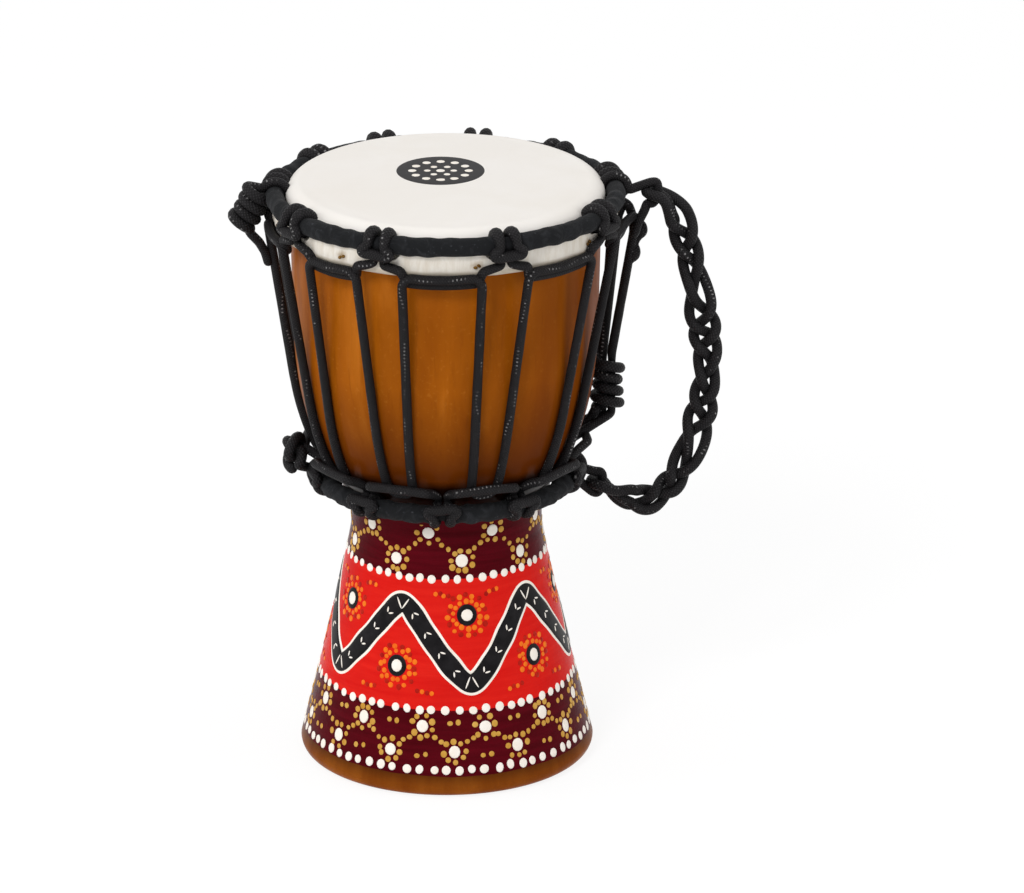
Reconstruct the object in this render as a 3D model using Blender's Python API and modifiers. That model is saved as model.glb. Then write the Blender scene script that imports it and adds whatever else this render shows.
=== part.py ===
"""Mini djembe: a small rope-laced goblet drum with a plaited carrying strap.

Metres, +Z up. The origin is the centre of the foot, on the drum's axis, and the front faces -Y.
Places round the drum are given as an azimuth in degrees, measured from the front towards +X,
a radius from the axis and a height.
"""
import math

import bpy
import numpy as np

# Turned wooden shell
HEAD_Z = 0.2097          # top of the playing skin
BOWL_R = 0.0540          # outside of the bowl at its bearing edge
BELLY_INSET = 0.0010     # the bowl is this much slimmer where its side turns in
BELLY_R = BOWL_R - BELLY_INSET
BELLY_Z = 0.1650         # height of that turn
BOWL_CORE_R = 0.0200     # the bowl's side is part of a superellipse that starts at this radius
BOWL_DROP = 0.0698       # depth of that superellipse below BELLY_Z
BOWL_POWER = 2.25
NECK_R = 0.0333
NECK_TOP_Z = 0.0955
NECK_HEIGHT = 0.0115     # the straight neck between the bowl and the flared foot
NECK_FOOT_Z = NECK_TOP_Z - NECK_HEIGHT
FOOT_R = 0.0525          # outside of the foot at the ground, before its edge is rounded
FOOT_POWER = 1.12        # above 1 the foot flares
FOOT_EDGE_R = 0.0045
BOWL_WALL = 0.0060
FOOT_WALL = 0.0075
THROAT_R = 0.0240
NECK_FILLET = 0.0012
EDGE_R = 0.0040          # rounding of the bearing edge

# Skin and its hidden hoop
SKIN_T = 0.0008
HOOP_WIRE_R = 0.0015
HOOP_DROP = 0.0130       # hoop centre below the top of the skin
SKIN_TAIL = 0.0036       # folded skin above the hoop's centre

# Tension rings: a steel wire in a cloth sleeve
CROWN_DROP = 0.0040      # ring centre below the top of the skin
CROWN_TUBE_R = 0.0030
CROWN_GAP = 0.0016       # room for a squeezed cord between the skin and the crown ring
WAIST_Z = 0.1027
WAIST_TUBE_R = 0.0030
WAIST_GAP = 0.0018       # room for a squeezed cord between the bowl and the waist ring
SLEEVE_T = 0.0012
SLIT_DEG = 26.0          # opening of the sleeve, where its edges meet against the drum

# Cord
CORD_R = 0.0015
PINCH_R = 0.0012         # where the cord is pressed flat under its own hitch
NIP_R = 0.0008           # where it is nipped between a ring and the drum
CORD_BEND = 0.0022       # how tightly the cord turns a corner
FACET = 0.00015          # room for a cord's straight steps beside a round piece
RING_STEP = 45.0         # angle between a cord's points round a ring, in degrees
GAP = 0.0003             # running gap between touching pieces
CORD_REACH = 0.0300      # furthest that a cord's centre lies outside the bowl's edge

# Lacing: ten hand-tied hitches, as azimuths
CROWN_HITCHES = (-57.0, -21.5, 20.0, 63.0, 105.0, 138.0, 169.0, 203.0, 232.0, 262.0)
# and where the pair of uprights that hangs at each of them ends, at the waist
LACING_FEET = (-55.5, -20.0, 17.0, 54.0, 105.0, 138.0, 169.0, 203.0, 232.0, 262.0)
HITCH_HALF = 0.00295     # half the spacing of a hitch's two turns
STAND_HALF = 0.00140     # half the spacing of the cords that leave the hitch
HITCH_BAR_DROP = 0.0062  # the bar across a hitch, from the ring's centre
HITCH_NIP = 0.0006       # the standing cords, above the bar, where the ring nips them
HITCH_START = 85.0       # where a hitch's turn meets the ring, and where it leaves it, in degrees
HITCH_END = 355.0
HITCH_LEAD = 25.0        # the cord is nipped this far before that
HITCH_FALL = ((1.0, 0.0030), (1.0, 0.0006), (0.45, 0.0))   # half width share, height off the bar
CORNER_HALF = 0.0082     # half the width of the lacing at the crown, along the ring
FOOT_CORNER_DEG = 5.8    # half the width of the lacing at the waist
CRADLE_DROP = 0.0150     # top run of the lacing, below the top of the skin
CRADLE_LOOP_DROP = 0.0176       # the crown loops' run behind it
LOOP_SPREAD = 1.15       # the crown loops' corners, against the lacing's
LOOP_LEG = ((0.68, 0.0008, 0.0013), (0.40, 0.0046, PINCH_R))   # corner share, rise, radius
WAIST_RUN_RISE = 0.0099  # the waist loops' run over the bowl, above the waist ring's centre
LACING_TURN_RISE = 0.0070       # the lacing's turn below that run
WAIST_RUN_Z = WAIST_Z + WAIST_RUN_RISE
LACING_TURN_Z = WAIST_Z + LACING_TURN_RISE
RUN_HALF_DEG = 12.0      # half the waist loops' run over a pair of the lacing's uprights
LEG_LEAST_DEG = 5.5      # least half width of a waist loop's two legs
LEG_LIFT = 0.0008        # its legs stand a little off the bowl

# Carrying strap: one cord plaited with itself and hung in two bails
STRAP_AZ = 96.0
STRAP_TOP_OUT = 0.0138   # the upper bail's bar, outward from the crown ring's centre
STRAP_TOP_DROP = 0.0035
STRAP_FOOT_OUT = 0.0114  # the lower bail's bar, outward from the waist ring's centre
STRAP_FOOT_DROP = 0.0067
BAIL_HALF = 0.0042
BAIL_ENDS = (-275.0, -60.0, 45.0)     # where a bail's cord leaves its ring, in degrees
BAIL_AWAY = (0.80, 2.2)  # its bend beyond the bar's end, along the bar and inward, in cord bends
BAIL_SHOULDER = (0.55, 0.5)
# The strap's middle line, from the upper bar to the lower: share of the way down, and distance
# outward from the straight line between the bars
STRAP_ROUTE = ((0.009, 0.0053), (0.049, 0.0084), (0.097, 0.0110), (0.144, 0.0135),
               (0.237, 0.0175), (0.316, 0.0208), (0.404, 0.0243), (0.493, 0.0275),
               (0.561, 0.0292), (0.640, 0.0297), (0.720, 0.0299), (0.786, 0.0295),
               (0.860, 0.0278), (0.936, 0.0247), (0.995, 0.0202), (1.030, 0.0143),
               (1.021, 0.0070))
PLAIT_A = 0.0044         # sideways swing of a strand
PLAIT_B = 0.0024         # depth swing of a strand
PLAIT_TURNS = 1200.0 / 360.0
PLAIT_END = 0.0100       # straight ends of the plait
PLAIT_STEP = 0.0036

# Tails of the ropes
FIST_AZ = 271.5
FIST_OUT = 0.0119        # the crown knot's middle, outward from the crown ring's centre
FIST_DROP = 0.0085
FIST_A = 0.0037
FIST_B = 0.0019
WAIST_KNOT_AZ = 273.4
WAIST_KNOT_OUT = 0.0116  # the waist knot's middle, outward from the waist ring's centre
WAIST_KNOT_RISE = 0.0070
WAIST_KNOT_SPIN = -0.9   # turn of the knot in its own plane, in radians
KNOT_OPEN = 0.16         # how far a knot's two ends stop short of each other, in radians
KNOT_POINTS = 34
KNOT_DEPTH = 1.15        # depth of a knot's crossings, in swings of its lobes
HOOK_ANGLES = (150.0, 105.0, 60.0, 25.0)    # a tail's way over its ring, in degrees
STOPPER_R = 0.0022       # stopper knots on the two ends beside the strap
STOPPERS = ((100.5, 0.0010, 0.0011), (99.9, -0.0004, STOPPER_R), (99.2, -0.0020, STOPPER_R),
            (98.6, -0.0036, 0.0012), (98.0, -0.0052, 0.0012), (97.5, -0.0068, STOPPER_R),
            (97.2, -0.0084, STOPPER_R), (97.1, -0.0098, 0.0011))  # azimuth, height, radius
HANK_AZ = 104.0
HANK_INSET = 0.00275     # the hank's axis, inward from the lacing's top run
HANK_PLACE = 0.436       # top of its coil, as a share of the way up from its lower end
HANK_LEAD = ((0.0, 0.2), (0.415, 1.0), (0.79, 1.0))    # way down to it, and share of its radius
HANK_TAIL = (0.35, 0.75, 1.0)
HANK_COIL_R = 0.0021
HANK_TURNS = 4
HANK_PITCH = 0.00355

TURN_STEPS = 36          # facets round every turned piece


# Materials and scene

def clear_scene():
    for old in list(bpy.data.objects):
        bpy.data.objects.remove(old, do_unlink=True)


def material(name, colour, roughness, metallic=0.0):
    made = bpy.data.materials.new(name)
    made.use_nodes = True
    shader = made.node_tree.nodes["Principled BSDF"]
    shader.inputs["Base Color"].default_value = (*colour, 1.0)
    shader.inputs["Roughness"].default_value = roughness
    shader.inputs["Metallic"].default_value = metallic
    return made


def keep(obj, finish):
    """Move an object to the drum's collection and give it its finish."""
    for owner in list(obj.users_collection):
        owner.objects.unlink(obj)
    drum.objects.link(obj)
    obj.data.materials.clear()
    obj.data.materials.append(finish)
    return obj


# Profiles

def arc(centre, radius, start, end, steps):
    """Points (r, z) on a circle, from the start angle to the end angle in degrees."""
    angles = np.radians(np.linspace(start, end, steps + 1))
    return [(centre[0] + radius * math.cos(a), centre[1] + radius * math.sin(a)) for a in angles]


def bowl_radius(z, shrink=0.0):
    """Outside of the bowl at a height, or with shrink the inside of its wall."""
    shifted = z - shrink
    if shifted >= BELLY_Z:
        share = (shifted - BELLY_Z) / (shell_top() - BELLY_Z)
        return BELLY_R + (BOWL_R - BELLY_R) * min(share, 1.0) - shrink
    depth = min((BELLY_Z - shifted) / BOWL_DROP, 1.0)
    swell = (1.0 - depth ** BOWL_POWER) ** (1.0 / BOWL_POWER)
    return BOWL_CORE_R + (BELLY_R - BOWL_CORE_R) * swell - shrink


def foot_radius(z, mouth, throat):
    """Flare of the foot from the neck to the ground."""
    share = (NECK_FOOT_Z - z) / NECK_FOOT_Z
    return throat + (mouth - throat) * share ** FOOT_POWER


def shell_top():
    """Height of the bearing edge, under the skin."""
    return HEAD_Z - SKIN_T - GAP


def bowl_heights(count):
    """Heights down the bowl, closer together where it turns in to the neck."""
    low = NECK_TOP_Z + NECK_FILLET * 5
    shares = [math.sin(math.radians(90.0 * k / count)) for k in range(1, count + 1)]
    return [BELLY_Z + (low - BELLY_Z) * share for share in shares]


def shell_outside():
    """Points (r, z) down the outside of the shell, from the bearing edge to the ground."""
    top = shell_top()
    points = arc((BOWL_R - EDGE_R, top - EDGE_R), EDGE_R, 90, 0, 3)
    for z in [0.5 * (BELLY_Z + top - EDGE_R), BELLY_Z] + bowl_heights(8):
        points.append((bowl_radius(z), z))
    points.append((NECK_R + NECK_FILLET, NECK_TOP_Z + NECK_FILLET))
    points.append((NECK_R, NECK_TOP_Z - NECK_FILLET))
    for z in np.linspace(NECK_FOOT_Z, 0.0, 5)[:-1]:
        points.append((foot_radius(z, FOOT_R, NECK_R), z))
    edge = foot_radius(FOOT_EDGE_R, FOOT_R, NECK_R) - FOOT_EDGE_R
    points += arc((edge, FOOT_EDGE_R), FOOT_EDGE_R, 0, -90, 3)
    return points


def shell_inside():
    """Points (r, z) up the inside of the shell, from the ground to the bearing edge."""
    mouth = FOOT_R - FOOT_WALL
    points = [(foot_radius(z, mouth, THROAT_R), z) for z in np.linspace(0.0, NECK_FOOT_Z, 4)]
    points.append((THROAT_R, NECK_TOP_Z))
    for z in bowl_heights(5)[::-1] + [BELLY_Z]:
        points.append((max(bowl_radius(z + BOWL_WALL, BOWL_WALL), THROAT_R), z + BOWL_WALL))
    points.append((BOWL_R - BOWL_WALL, shell_top() - EDGE_R))
    points.append((BOWL_R - BOWL_WALL + EDGE_R / 4, shell_top()))
    return points


def hoop_centre():
    return (BOWL_R + GAP + SKIN_T + GAP + HOOP_WIRE_R, HEAD_Z - HOOP_DROP)


def apron_radius():
    """Outside of the skin where it is folded up past the hoop."""
    return hoop_centre()[0] + HOOP_WIRE_R + GAP + SKIN_T


def skin_outside():
    """Points (r, z) along the skin's outer face: over the bearing edge, round the hoop and up."""
    corner = (BOWL_R - EDGE_R, shell_top() - EDGE_R)
    hoop = hoop_centre()
    fold = HOOP_WIRE_R + GAP
    over = arc(corner, EDGE_R + GAP + SKIN_T, 90, 0, 3)
    round_hoop = arc(hoop, fold, 180, 360, 3)
    tail = [(hoop[0] + fold, hoop[1] + SKIN_TAIL), (hoop[0] + fold + SKIN_T, hoop[1] + SKIN_TAIL)]
    back = arc(hoop, fold + SKIN_T, 360, 180, 4)
    inner = arc(corner, EDGE_R + GAP, 0, 90, 3)
    return [(0.0, HEAD_Z)] + over + round_hoop + tail + back + inner + [(0.0, HEAD_Z - SKIN_T)]


def turned(name, points, finish, closed):
    """Turn a profile about Z with a Screw modifier. It runs down its outer side."""
    mesh = bpy.data.meshes.new(name)
    count = len(points)
    edges = [(i, i + 1) for i in range(count - 1)] + ([(count - 1, 0)] if closed else [])
    mesh.from_pydata([(r, 0.0, z) for r, z in points], edges, [])
    obj = bpy.data.objects.new(name, mesh)
    bpy.context.scene.collection.objects.link(obj)
    screw = obj.modifiers.new("turn", "SCREW")
    screw.steps = screw.render_steps = TURN_STEPS
    screw.use_merge_vertices = True
    screw.merge_threshold = 0.00001
    screw.use_smooth_shade = True
    return keep(obj, finish)


# Cord routes

def polar(azimuth, radius, z):
    a = math.radians(azimuth)
    return (radius * math.sin(a), -radius * math.cos(a), z)


def distance_to(profile, point):
    """Least distance from a point (r, z) to a profile of straight pieces."""
    start = np.array(profile[:-1])
    run = np.array(profile[1:]) - start
    to = np.array(point) - start
    share = np.clip((to * run).sum(1) / (run * run).sum(1), 0.0, 1.0)
    return float(np.linalg.norm(to - share[:, None] * run, axis=1).min())


def off_profile(profile, z, clear):
    """Radius at which a point of this height lies clear of a profile by a distance."""
    low, high = NECK_R, BOWL_R + CORD_REACH
    for _ in range(30):
        middle = 0.5 * (low + high)
        inside = middle < np.interp(z, OUTLINES[profile][1], OUTLINES[profile][0])
        if inside or distance_to(PROFILES[profile], (middle, z)) < clear:
            low = middle
        else:
            high = middle
    return high


def round_ring(ring, profile, angle, fat=CORD_R):
    """Cord centre and radius beside a ring, thinned where the ring presses it on the drum.

    The centre stands off a little further than a round cord's would, because the cord runs
    straight from one point to the next.
    """
    centre, tube = ring
    a = math.radians(angle)
    stretch = 1.0 / math.cos(math.radians(RING_STEP / 2))
    low, high = 0.0002, fat
    for _ in range(24):
        middle = 0.5 * (low + high)
        reach = (tube + GAP + middle) * stretch
        at = (centre[0] + reach * math.cos(a), centre[1] + reach * math.sin(a))
        if distance_to(PROFILES[profile], at) >= middle + GAP:
            low = middle
        else:
            high = middle
    reach = (tube + GAP + low) * stretch
    return centre[0] + reach * math.cos(a), centre[1] + reach * math.sin(a), low


def smooth_route(points, spacing):
    """Evenly spaced points on a Catmull-Rom curve through a route's own points."""
    pts = np.array(points, float)
    ends = np.vstack([2 * pts[0] - pts[1], pts, 2 * pts[-1] - pts[-2]])
    fine = []
    for i in range(len(pts) - 1):
        p0, p1, p2, p3 = ends[i:i + 4]
        for t in np.linspace(0.0, 1.0, 16, endpoint=False):
            fine.append(0.5 * (2 * p1 + (p2 - p0) * t + (2 * p0 - 5 * p1 + 4 * p2 - p3) * t ** 2
                               + (3 * p1 - p0 - 3 * p2 + p3) * t ** 3))
    fine.append(pts[-1])
    fine = np.array(fine)
    along = np.concatenate([[0.0], np.cumsum(np.linalg.norm(np.diff(fine, axis=0), axis=1))])
    wanted = np.linspace(0.0, along[-1], max(2, round(along[-1] / spacing)) + 1)
    return np.stack([np.interp(wanted, along, fine[:, k]) for k in range(pts.shape[1])], axis=1)


def cord(name, points, finish, cyclic=False, origin=(0.0, 0.0, 0.0)):
    """A cord as a curve with a round section. Each point is (x, y, z, radius)."""
    curve = bpy.data.curves.new(name, "CURVE")
    curve.dimensions = "3D"
    curve.bevel_depth = CORD_R
    curve.bevel_resolution = 1
    curve.use_fill_caps = True
    spline = curve.splines.new("POLY")
    spline.points.add(len(points) - 1)
    for point, (x, y, z, radius) in zip(spline.points, points):
        point.co = (x - origin[0], y - origin[1], z - origin[2], 1.0)
        point.radius = radius / CORD_R
    spline.use_cyclic_u = cyclic
    spline.use_smooth = True
    obj = bpy.data.objects.new(name, curve)
    obj.location = origin
    bpy.context.scene.collection.objects.link(obj)
    return keep(obj, finish)


def least_gap(points, spared):
    """Least gap between two stretches of one cord that lie further apart along it than spared."""
    at = np.array([p[:3] for p in points])
    along = np.concatenate([[0.0], np.cumsum(np.linalg.norm(np.diff(at, axis=0), axis=1))])
    fine = np.arange(0.0, along[-1], CORD_R / 3)
    at = np.stack([np.interp(fine, along, at[:, k]) for k in range(3)], axis=1)
    apart = np.linalg.norm(at[:, None] - at[None], axis=2)
    apart[np.abs(fine[:, None] - fine[None]) < spared] = np.inf
    return float(apart.min()) - 2 * CORD_R


def ring_degrees(length, radius):
    """Angle, in degrees, of a length measured round a circle."""
    return math.degrees(length / radius)


# Pieces

def crown_ring():
    skin_r = BOWL_R + GAP + SKIN_T
    return (skin_r + CROWN_GAP + CROWN_TUBE_R, HEAD_Z - CROWN_DROP), CROWN_TUBE_R


def waist_ring():
    """The waist ring hangs below the bowl's flare, a squeezed cord away from it."""
    wanted = WAIST_TUBE_R + WAIST_GAP
    return (off_profile("shell", WAIST_Z, wanted), WAIST_Z), WAIST_TUBE_R


def tension_ring(name, ring, slit_angle, steel, cloth):
    """A wire ring in a cloth sleeve that is open along a slit facing the drum."""
    centre, tube = ring
    core = tube - SLEEVE_T - GAP
    turned(name + "_core", arc(centre, core, 90, -210, 5), steel, True)
    half = SLIT_DEG / 2
    outer = arc(centre, tube, slit_angle - half, slit_angle - 360 + half, 6)
    inner = arc(centre, tube - SLEEVE_T, slit_angle - 360 + half, slit_angle - half, 5)
    turned(name + "_sleeve", outer + inner, cloth, True)


def hitch(azimuth, ring, profile, down):
    """One cow hitch on a ring, left to right, as points (x, y, z, radius).

    down is 1 where the lacing pulls down from the ring and -1 where it pulls up. Each half
    leaves the drum's face, goes behind the bar, round the ring and back out over the bar.
    """
    centre, tube = ring
    bar_z = centre[1] - down * HITCH_BAR_DROP
    stand = GAP + FACET + PINCH_R
    bar_clear = stand + PINCH_R + GAP + CORD_R
    low_z = bar_z - down * PINCH_R / 2
    nip_z = bar_z + down * HITCH_NIP
    half = [(STAND_HALF, off_profile(profile, low_z, stand), low_z, PINCH_R),
            (STAND_HALF, off_profile(profile, nip_z, GAP + FACET + NIP_R), nip_z, NIP_R)]
    r, z, fat = round_ring(ring, profile, -down * (HITCH_START - HITCH_LEAD), NIP_R)
    half.append((STAND_HALF, r, z, fat))
    spreading = (HITCH_START, HITCH_START + 2 * RING_STEP)
    for angle in np.arange(HITCH_START, HITCH_END + 1.0, RING_STEP):
        thick = NIP_R if angle == HITCH_START else CORD_R
        r, z, fat = round_ring(ring, profile, -down * angle, thick)
        half.append((np.interp(angle, spreading, (STAND_HALF, HITCH_HALF)), r, z, fat))
    over = off_profile(profile, bar_z, bar_clear)
    for (share, height), r in zip(HITCH_FALL, (centre[0] + tube + GAP + CORD_R, over, over)):
        half.append((HITCH_HALF * share, r, bar_z + down * height, CORD_R))
    left = [(-side, r, z, fat) for side, r, z, fat in half]
    points = []
    for side, r, z, fat in left + half[::-1]:
        points.append((*polar(azimuth + ring_degrees(side, centre[0]), r, z), fat))
    return points


def following(azimuths):
    """Each azimuth's next neighbour round the drum."""
    return list(azimuths[1:]) + [azimuths[0] + 360.0]


def crown_loops(finish):
    """The cord that hangs the lacing from the crown ring, one long loop with ten hitches."""
    ring = crown_ring()
    run_z = HEAD_Z - CRADLE_LOOP_DROP
    run_r = lacing_top_radius() - 2 * CORD_R - 2 * GAP - FACET
    half = ring_degrees(CORNER_HALF, ring[0][0]) * LOOP_SPREAD
    points = []
    for azimuth, after in zip(CROWN_HITCHES, following(CROWN_HITCHES)):
        leg = []
        for share, rise, fat in LOOP_LEG:
            z = run_z + rise
            r = off_profile("skin", z, GAP + 2 * FACET + fat)
            leg.append((half * share, r, z, fat))
        for offset, r, z, fat in leg:
            points.append((*polar(azimuth - offset, r, z), fat))
        points += hitch(azimuth, ring, "skin", 1)
        for offset, r, z, fat in leg[::-1]:
            points.append((*polar(azimuth + offset, r, z), fat))
        for share in (0.0, 0.5, 1.0):
            along = azimuth + half + (after - azimuth - 2 * half) * share
            points.append((*polar(along, run_r, run_z), CORD_R))
    return cord("crown_loops", points, finish, cyclic=True)


def lacing_top_radius():
    """The lacing's top run lies on the skin, just below the hoop."""
    return apron_radius() + CORD_R + FACET


def waist_loops(finish):
    """The cord on the waist ring that catches the lacing's lower turns.

    Its hitches lie halfway between the crown's, and between them it runs over the lacing.
    """
    ring = waist_ring()
    stand = ring_degrees(STAND_HALF, ring[0][0])
    over_lacing = GAP + 2 * CORD_R + GAP + CORD_R
    run_r = off_profile("shell", WAIST_RUN_Z, over_lacing)
    leg_z = 0.5 * (WAIST_RUN_Z + ring[0][1] + HITCH_BAR_DROP)
    leg_r = off_profile("shell", leg_z, GAP + CORD_R + LEG_LIFT)
    points = []
    for here, there in zip(LACING_FEET, following(LACING_FEET)):
        azimuth = 0.5 * (here + there)
        spread = (azimuth - here) - min(RUN_HALF_DEG, azimuth - here - LEG_LEAST_DEG)
        inner = 0.5 * (spread + stand)
        points.append((*polar(azimuth - spread, run_r, WAIST_RUN_Z), CORD_R))
        points.append((*polar(azimuth - inner, leg_r, leg_z), CORD_R))
        points += hitch(azimuth, ring, "shell", -1)
        points.append((*polar(azimuth + inner, leg_r, leg_z), CORD_R))
        points.append((*polar(azimuth + spread, run_r, WAIST_RUN_Z), CORD_R))
        points.append((*polar(there, run_r, WAIST_RUN_Z), CORD_R))
    return cord("waist_loops", points, finish, cyclic=True)


def taut(points):
    """Upper hull of points (z, r) given from the top down: a cord pulled tight over them."""
    hull = []
    for point in points:
        while len(hull) > 1:
            (z0, r0), (z1, r1) = hull[-2], hull[-1]
            if (r1 - r0) * (point[0] - z0) >= (point[1] - r0) * (z1 - z0):
                hull.pop()
            else:
                break
        hull.append(point)
    return hull


def lacing_drop():
    """Points (z, r) down one upright of the lacing, pulled tight over the bowl."""
    drop = [(HEAD_Z - CRADLE_DROP - CORD_BEND, lacing_top_radius())]
    for z in np.linspace(BELLY_Z, LACING_TURN_Z + CORD_BEND, 7)[1:]:
        drop.append((z, off_profile("shell", z, GAP + CORD_R)))
    return taut(drop)


def lacing(finish):
    """The long rope that runs up and down between the crown loops and the waist loops."""
    top_z = HEAD_Z - CRADLE_DROP
    top_r = lacing_top_radius()
    corner = ring_degrees(CORNER_HALF, crown_ring()[0][0])
    top_bend = ring_degrees(CORD_BEND, top_r)
    drop = lacing_drop()
    turn_r = off_profile("shell", LACING_TURN_Z, GAP + CORD_R)
    foot_bend = ring_degrees(CORD_BEND, turn_r)
    points = []

    def fall(azimuth, foot, side):
        """One upright from the crown to the waist, at one side of a hitch."""
        upright = []
        total = drop[0][0] - drop[-1][0]
        above, below = azimuth + side * corner, foot + side * FOOT_CORNER_DEG
        for z, r in drop:
            at = above + (below - above) * (drop[0][0] - z) / total
            upright.append((*polar(at, r, z), CORD_R))
        return upright

    for azimuth, foot, after in zip(CROWN_HITCHES, LACING_FEET, following(CROWN_HITCHES)):
        points.append((*polar(azimuth - corner - top_bend, top_r, top_z), CORD_R))
        points += fall(azimuth, foot, -1)
        for side in (-1, 1):
            turn = foot + side * (FOOT_CORNER_DEG - foot_bend)
            points.append((*polar(turn, turn_r, LACING_TURN_Z), CORD_R))
        points += fall(azimuth, foot, 1)[::-1]
        points.append((*polar(azimuth + corner + top_bend, top_r, top_z), CORD_R))
        points.append((*polar(0.5 * (azimuth + after), top_r, top_z), CORD_R))
    return cord("lacing_rope", points, finish, cyclic=True)


def in_strap_plane(r, z, depth=0.0):
    """A point of the strap's own radial plane, moved by depth square to that plane."""
    x, y, height = polar(STRAP_AZ, r, z)
    a = math.radians(STRAP_AZ)
    return (x + depth * math.cos(a), y + depth * math.sin(a), height)


def strap_top():
    """Radius and height of the upper bail's bar, which the strap's upper fold hangs on."""
    r, z = crown_ring()[0]
    return np.array((r + STRAP_TOP_OUT, z - STRAP_TOP_DROP))


def strap_foot():
    r, z = waist_ring()[0]
    return np.array((r + STRAP_FOOT_OUT, z - STRAP_FOOT_DROP))


def strap_axis():
    run = strap_top() - strap_foot()
    return run / np.linalg.norm(run)


def toward_drum():
    """In the strap's own plane, square to the hinge axis and pointing at the drum."""
    axis = strap_axis()
    return np.array((-axis[1], axis[0]))


def bail(name, ring, profile, bar_centre, finish):
    """A closed loop of cord round a ring, whose outer side is the bar that the strap hangs on."""
    axis, inward = strap_axis(), toward_drum()
    under, nip, over = BAIL_ENDS
    section = [round_ring(ring, profile, nip, NIP_R)]
    for angle in np.arange(under, nip - RING_STEP / 2, RING_STEP)[::-1]:
        section.append(round_ring(ring, profile, angle))
    section.append(round_ring(ring, profile, over))
    for sign in (1, -1):
        end = bar_centre + sign * axis * BAIL_HALF
        away, shoulder = [end + CORD_BEND * (outer * sign * axis + in_share * inward)
                          for outer, in_share in (BAIL_AWAY, BAIL_SHOULDER)]
        bar = end - CORD_BEND * 0.5 * sign * axis
        trio = [away, shoulder, bar][::sign]
        section += [(p[0], p[1], CORD_R) for p in trio]
    points = [(*in_strap_plane(r, z), fat) for r, z, fat in section]
    return cord(name, points, finish, cyclic=True)


def strap(finish):
    """One cord plaited with itself: down, round the lower bar, up, round the upper bar, down.

    Across the strap a strand lies at A sin(phase), and through it at B sin(2 phase), with the
    three strands a third of a turn apart. The ends close into a flat fold round each bar.
    """
    inward = toward_drum()
    top, foot = strap_top(), strap_foot()
    fold = 2 * CORD_R + GAP + FACET
    bulge = [top + (foot - top) * share - inward * off for share, off in STRAP_ROUTE]
    route = smooth_route([top] + bulge + [foot], PLAIT_STEP)
    tangent = np.gradient(route, axis=0)
    tangent /= np.linalg.norm(tangent, axis=1)[:, None]
    across = np.stack([tangent[:, 1], -tangent[:, 0]], axis=1)
    steps = np.concatenate([[0.0], np.cumsum(np.linalg.norm(np.diff(route, axis=0), axis=1))])
    length = steps[-1]
    turning = np.clip((steps - PLAIT_END) / (length - 2 * PLAIT_END), 0.0, 1.0)
    phase = 2 * math.pi * PLAIT_TURNS * turning
    ease = np.clip(np.minimum(steps, length - steps) / PLAIT_END, 0.0, 1.0)
    ease = ease * ease * (3 - 2 * ease)
    middle_strand = np.where(steps < length / 2, 0, 2)

    def strand(number):
        angle = phase + 2 * math.pi * number / 3
        outer = np.where(middle_strand == number, 0.0, np.sign(np.sin(2 * angle)))
        depth = ease * PLAIT_B * np.sin(2 * angle) + (1 - ease) * fold * outer
        flat = route + across * (ease * PLAIT_A * np.sin(angle))[:, None]
        return [(*in_strap_plane(r, z, d), CORD_R) for (r, z), d in zip(flat, depth)]

    def turn(bar_centre, start):
        """Half a turn round a bar, square to the hinge axis, on the drum's side of it."""
        half = []
        for angle in np.radians((45, 90, 135)):
            r, z = bar_centre + inward * fold * math.sin(angle)
            half.append((*in_strap_plane(r, z, start * fold * math.cos(angle)), CORD_R))
        return half

    def side_of(point):
        """Which side of the strap's plane a point lies on."""
        a = math.radians(STRAP_AZ)
        return math.copysign(1.0, point[0] * math.cos(a) + point[1] * math.sin(a))

    first, second, third = strand(0), strand(1), strand(2)
    points = first[1:] + turn(foot, side_of(first[-1]))
    points += second[::-1] + turn(top, side_of(second[0])) + third[:-1]
    return cord("strap_plait", points, finish, origin=polar(STRAP_AZ, *top))


def overhand(centre_az, centre, a, b, spin, thick=CORD_R):
    """An overhand knot: a trefoil of two turns and three lobes, left open at its ends."""
    out = np.array(polar(centre_az, 1.0, 0.0))
    up = np.array((0.0, 0.0, 1.0))
    along = np.cross(up, out)
    middle = np.array(polar(centre_az, centre[0], centre[1]))
    points = []
    for t in np.linspace(KNOT_OPEN, 2 * math.pi - KNOT_OPEN, KNOT_POINTS):
        wide = a + b * math.cos(3 * t)
        p = middle + along * wide * math.cos(2 * t + spin) + up * wide * math.sin(2 * t + spin)
        p = p - out * (b * KNOT_DEPTH * math.sin(3 * t))
        points.append((*p, thick))
    return points


def hooked(azimuth, ring, profile):
    """A rope's end tucked behind a ring and brought out over it."""
    points = []
    for angle in HOOK_ANGLES:
        r, z, fat = round_ring(ring, profile, angle)
        points.append((*polar(azimuth, r, z), fat))
    return points


def fist_knot(finish):
    """The rope's end at the crown: a hook over the ring that ends in a knot."""
    (r, z), _ = ring = crown_ring()
    points = hooked(FIST_AZ, ring, "skin")
    points += overhand(FIST_AZ, (r + FIST_OUT, z - FIST_DROP), FIST_A, FIST_B, 0.0)
    return cord("crown_tail_knot", points, finish)


def waist_knot(finish):
    """The rope's end at the waist: a hook over the ring that ends in a knot beside the bowl."""
    (r, z), _ = ring = waist_ring()
    points = hooked(WAIST_KNOT_AZ, ring, "shell")
    middle = (r + WAIST_KNOT_OUT, z + WAIST_KNOT_RISE)
    points += overhand(WAIST_KNOT_AZ, middle, FIST_A, FIST_B, WAIST_KNOT_SPIN)
    return cord("waist_tail_knot", points, finish)


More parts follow.
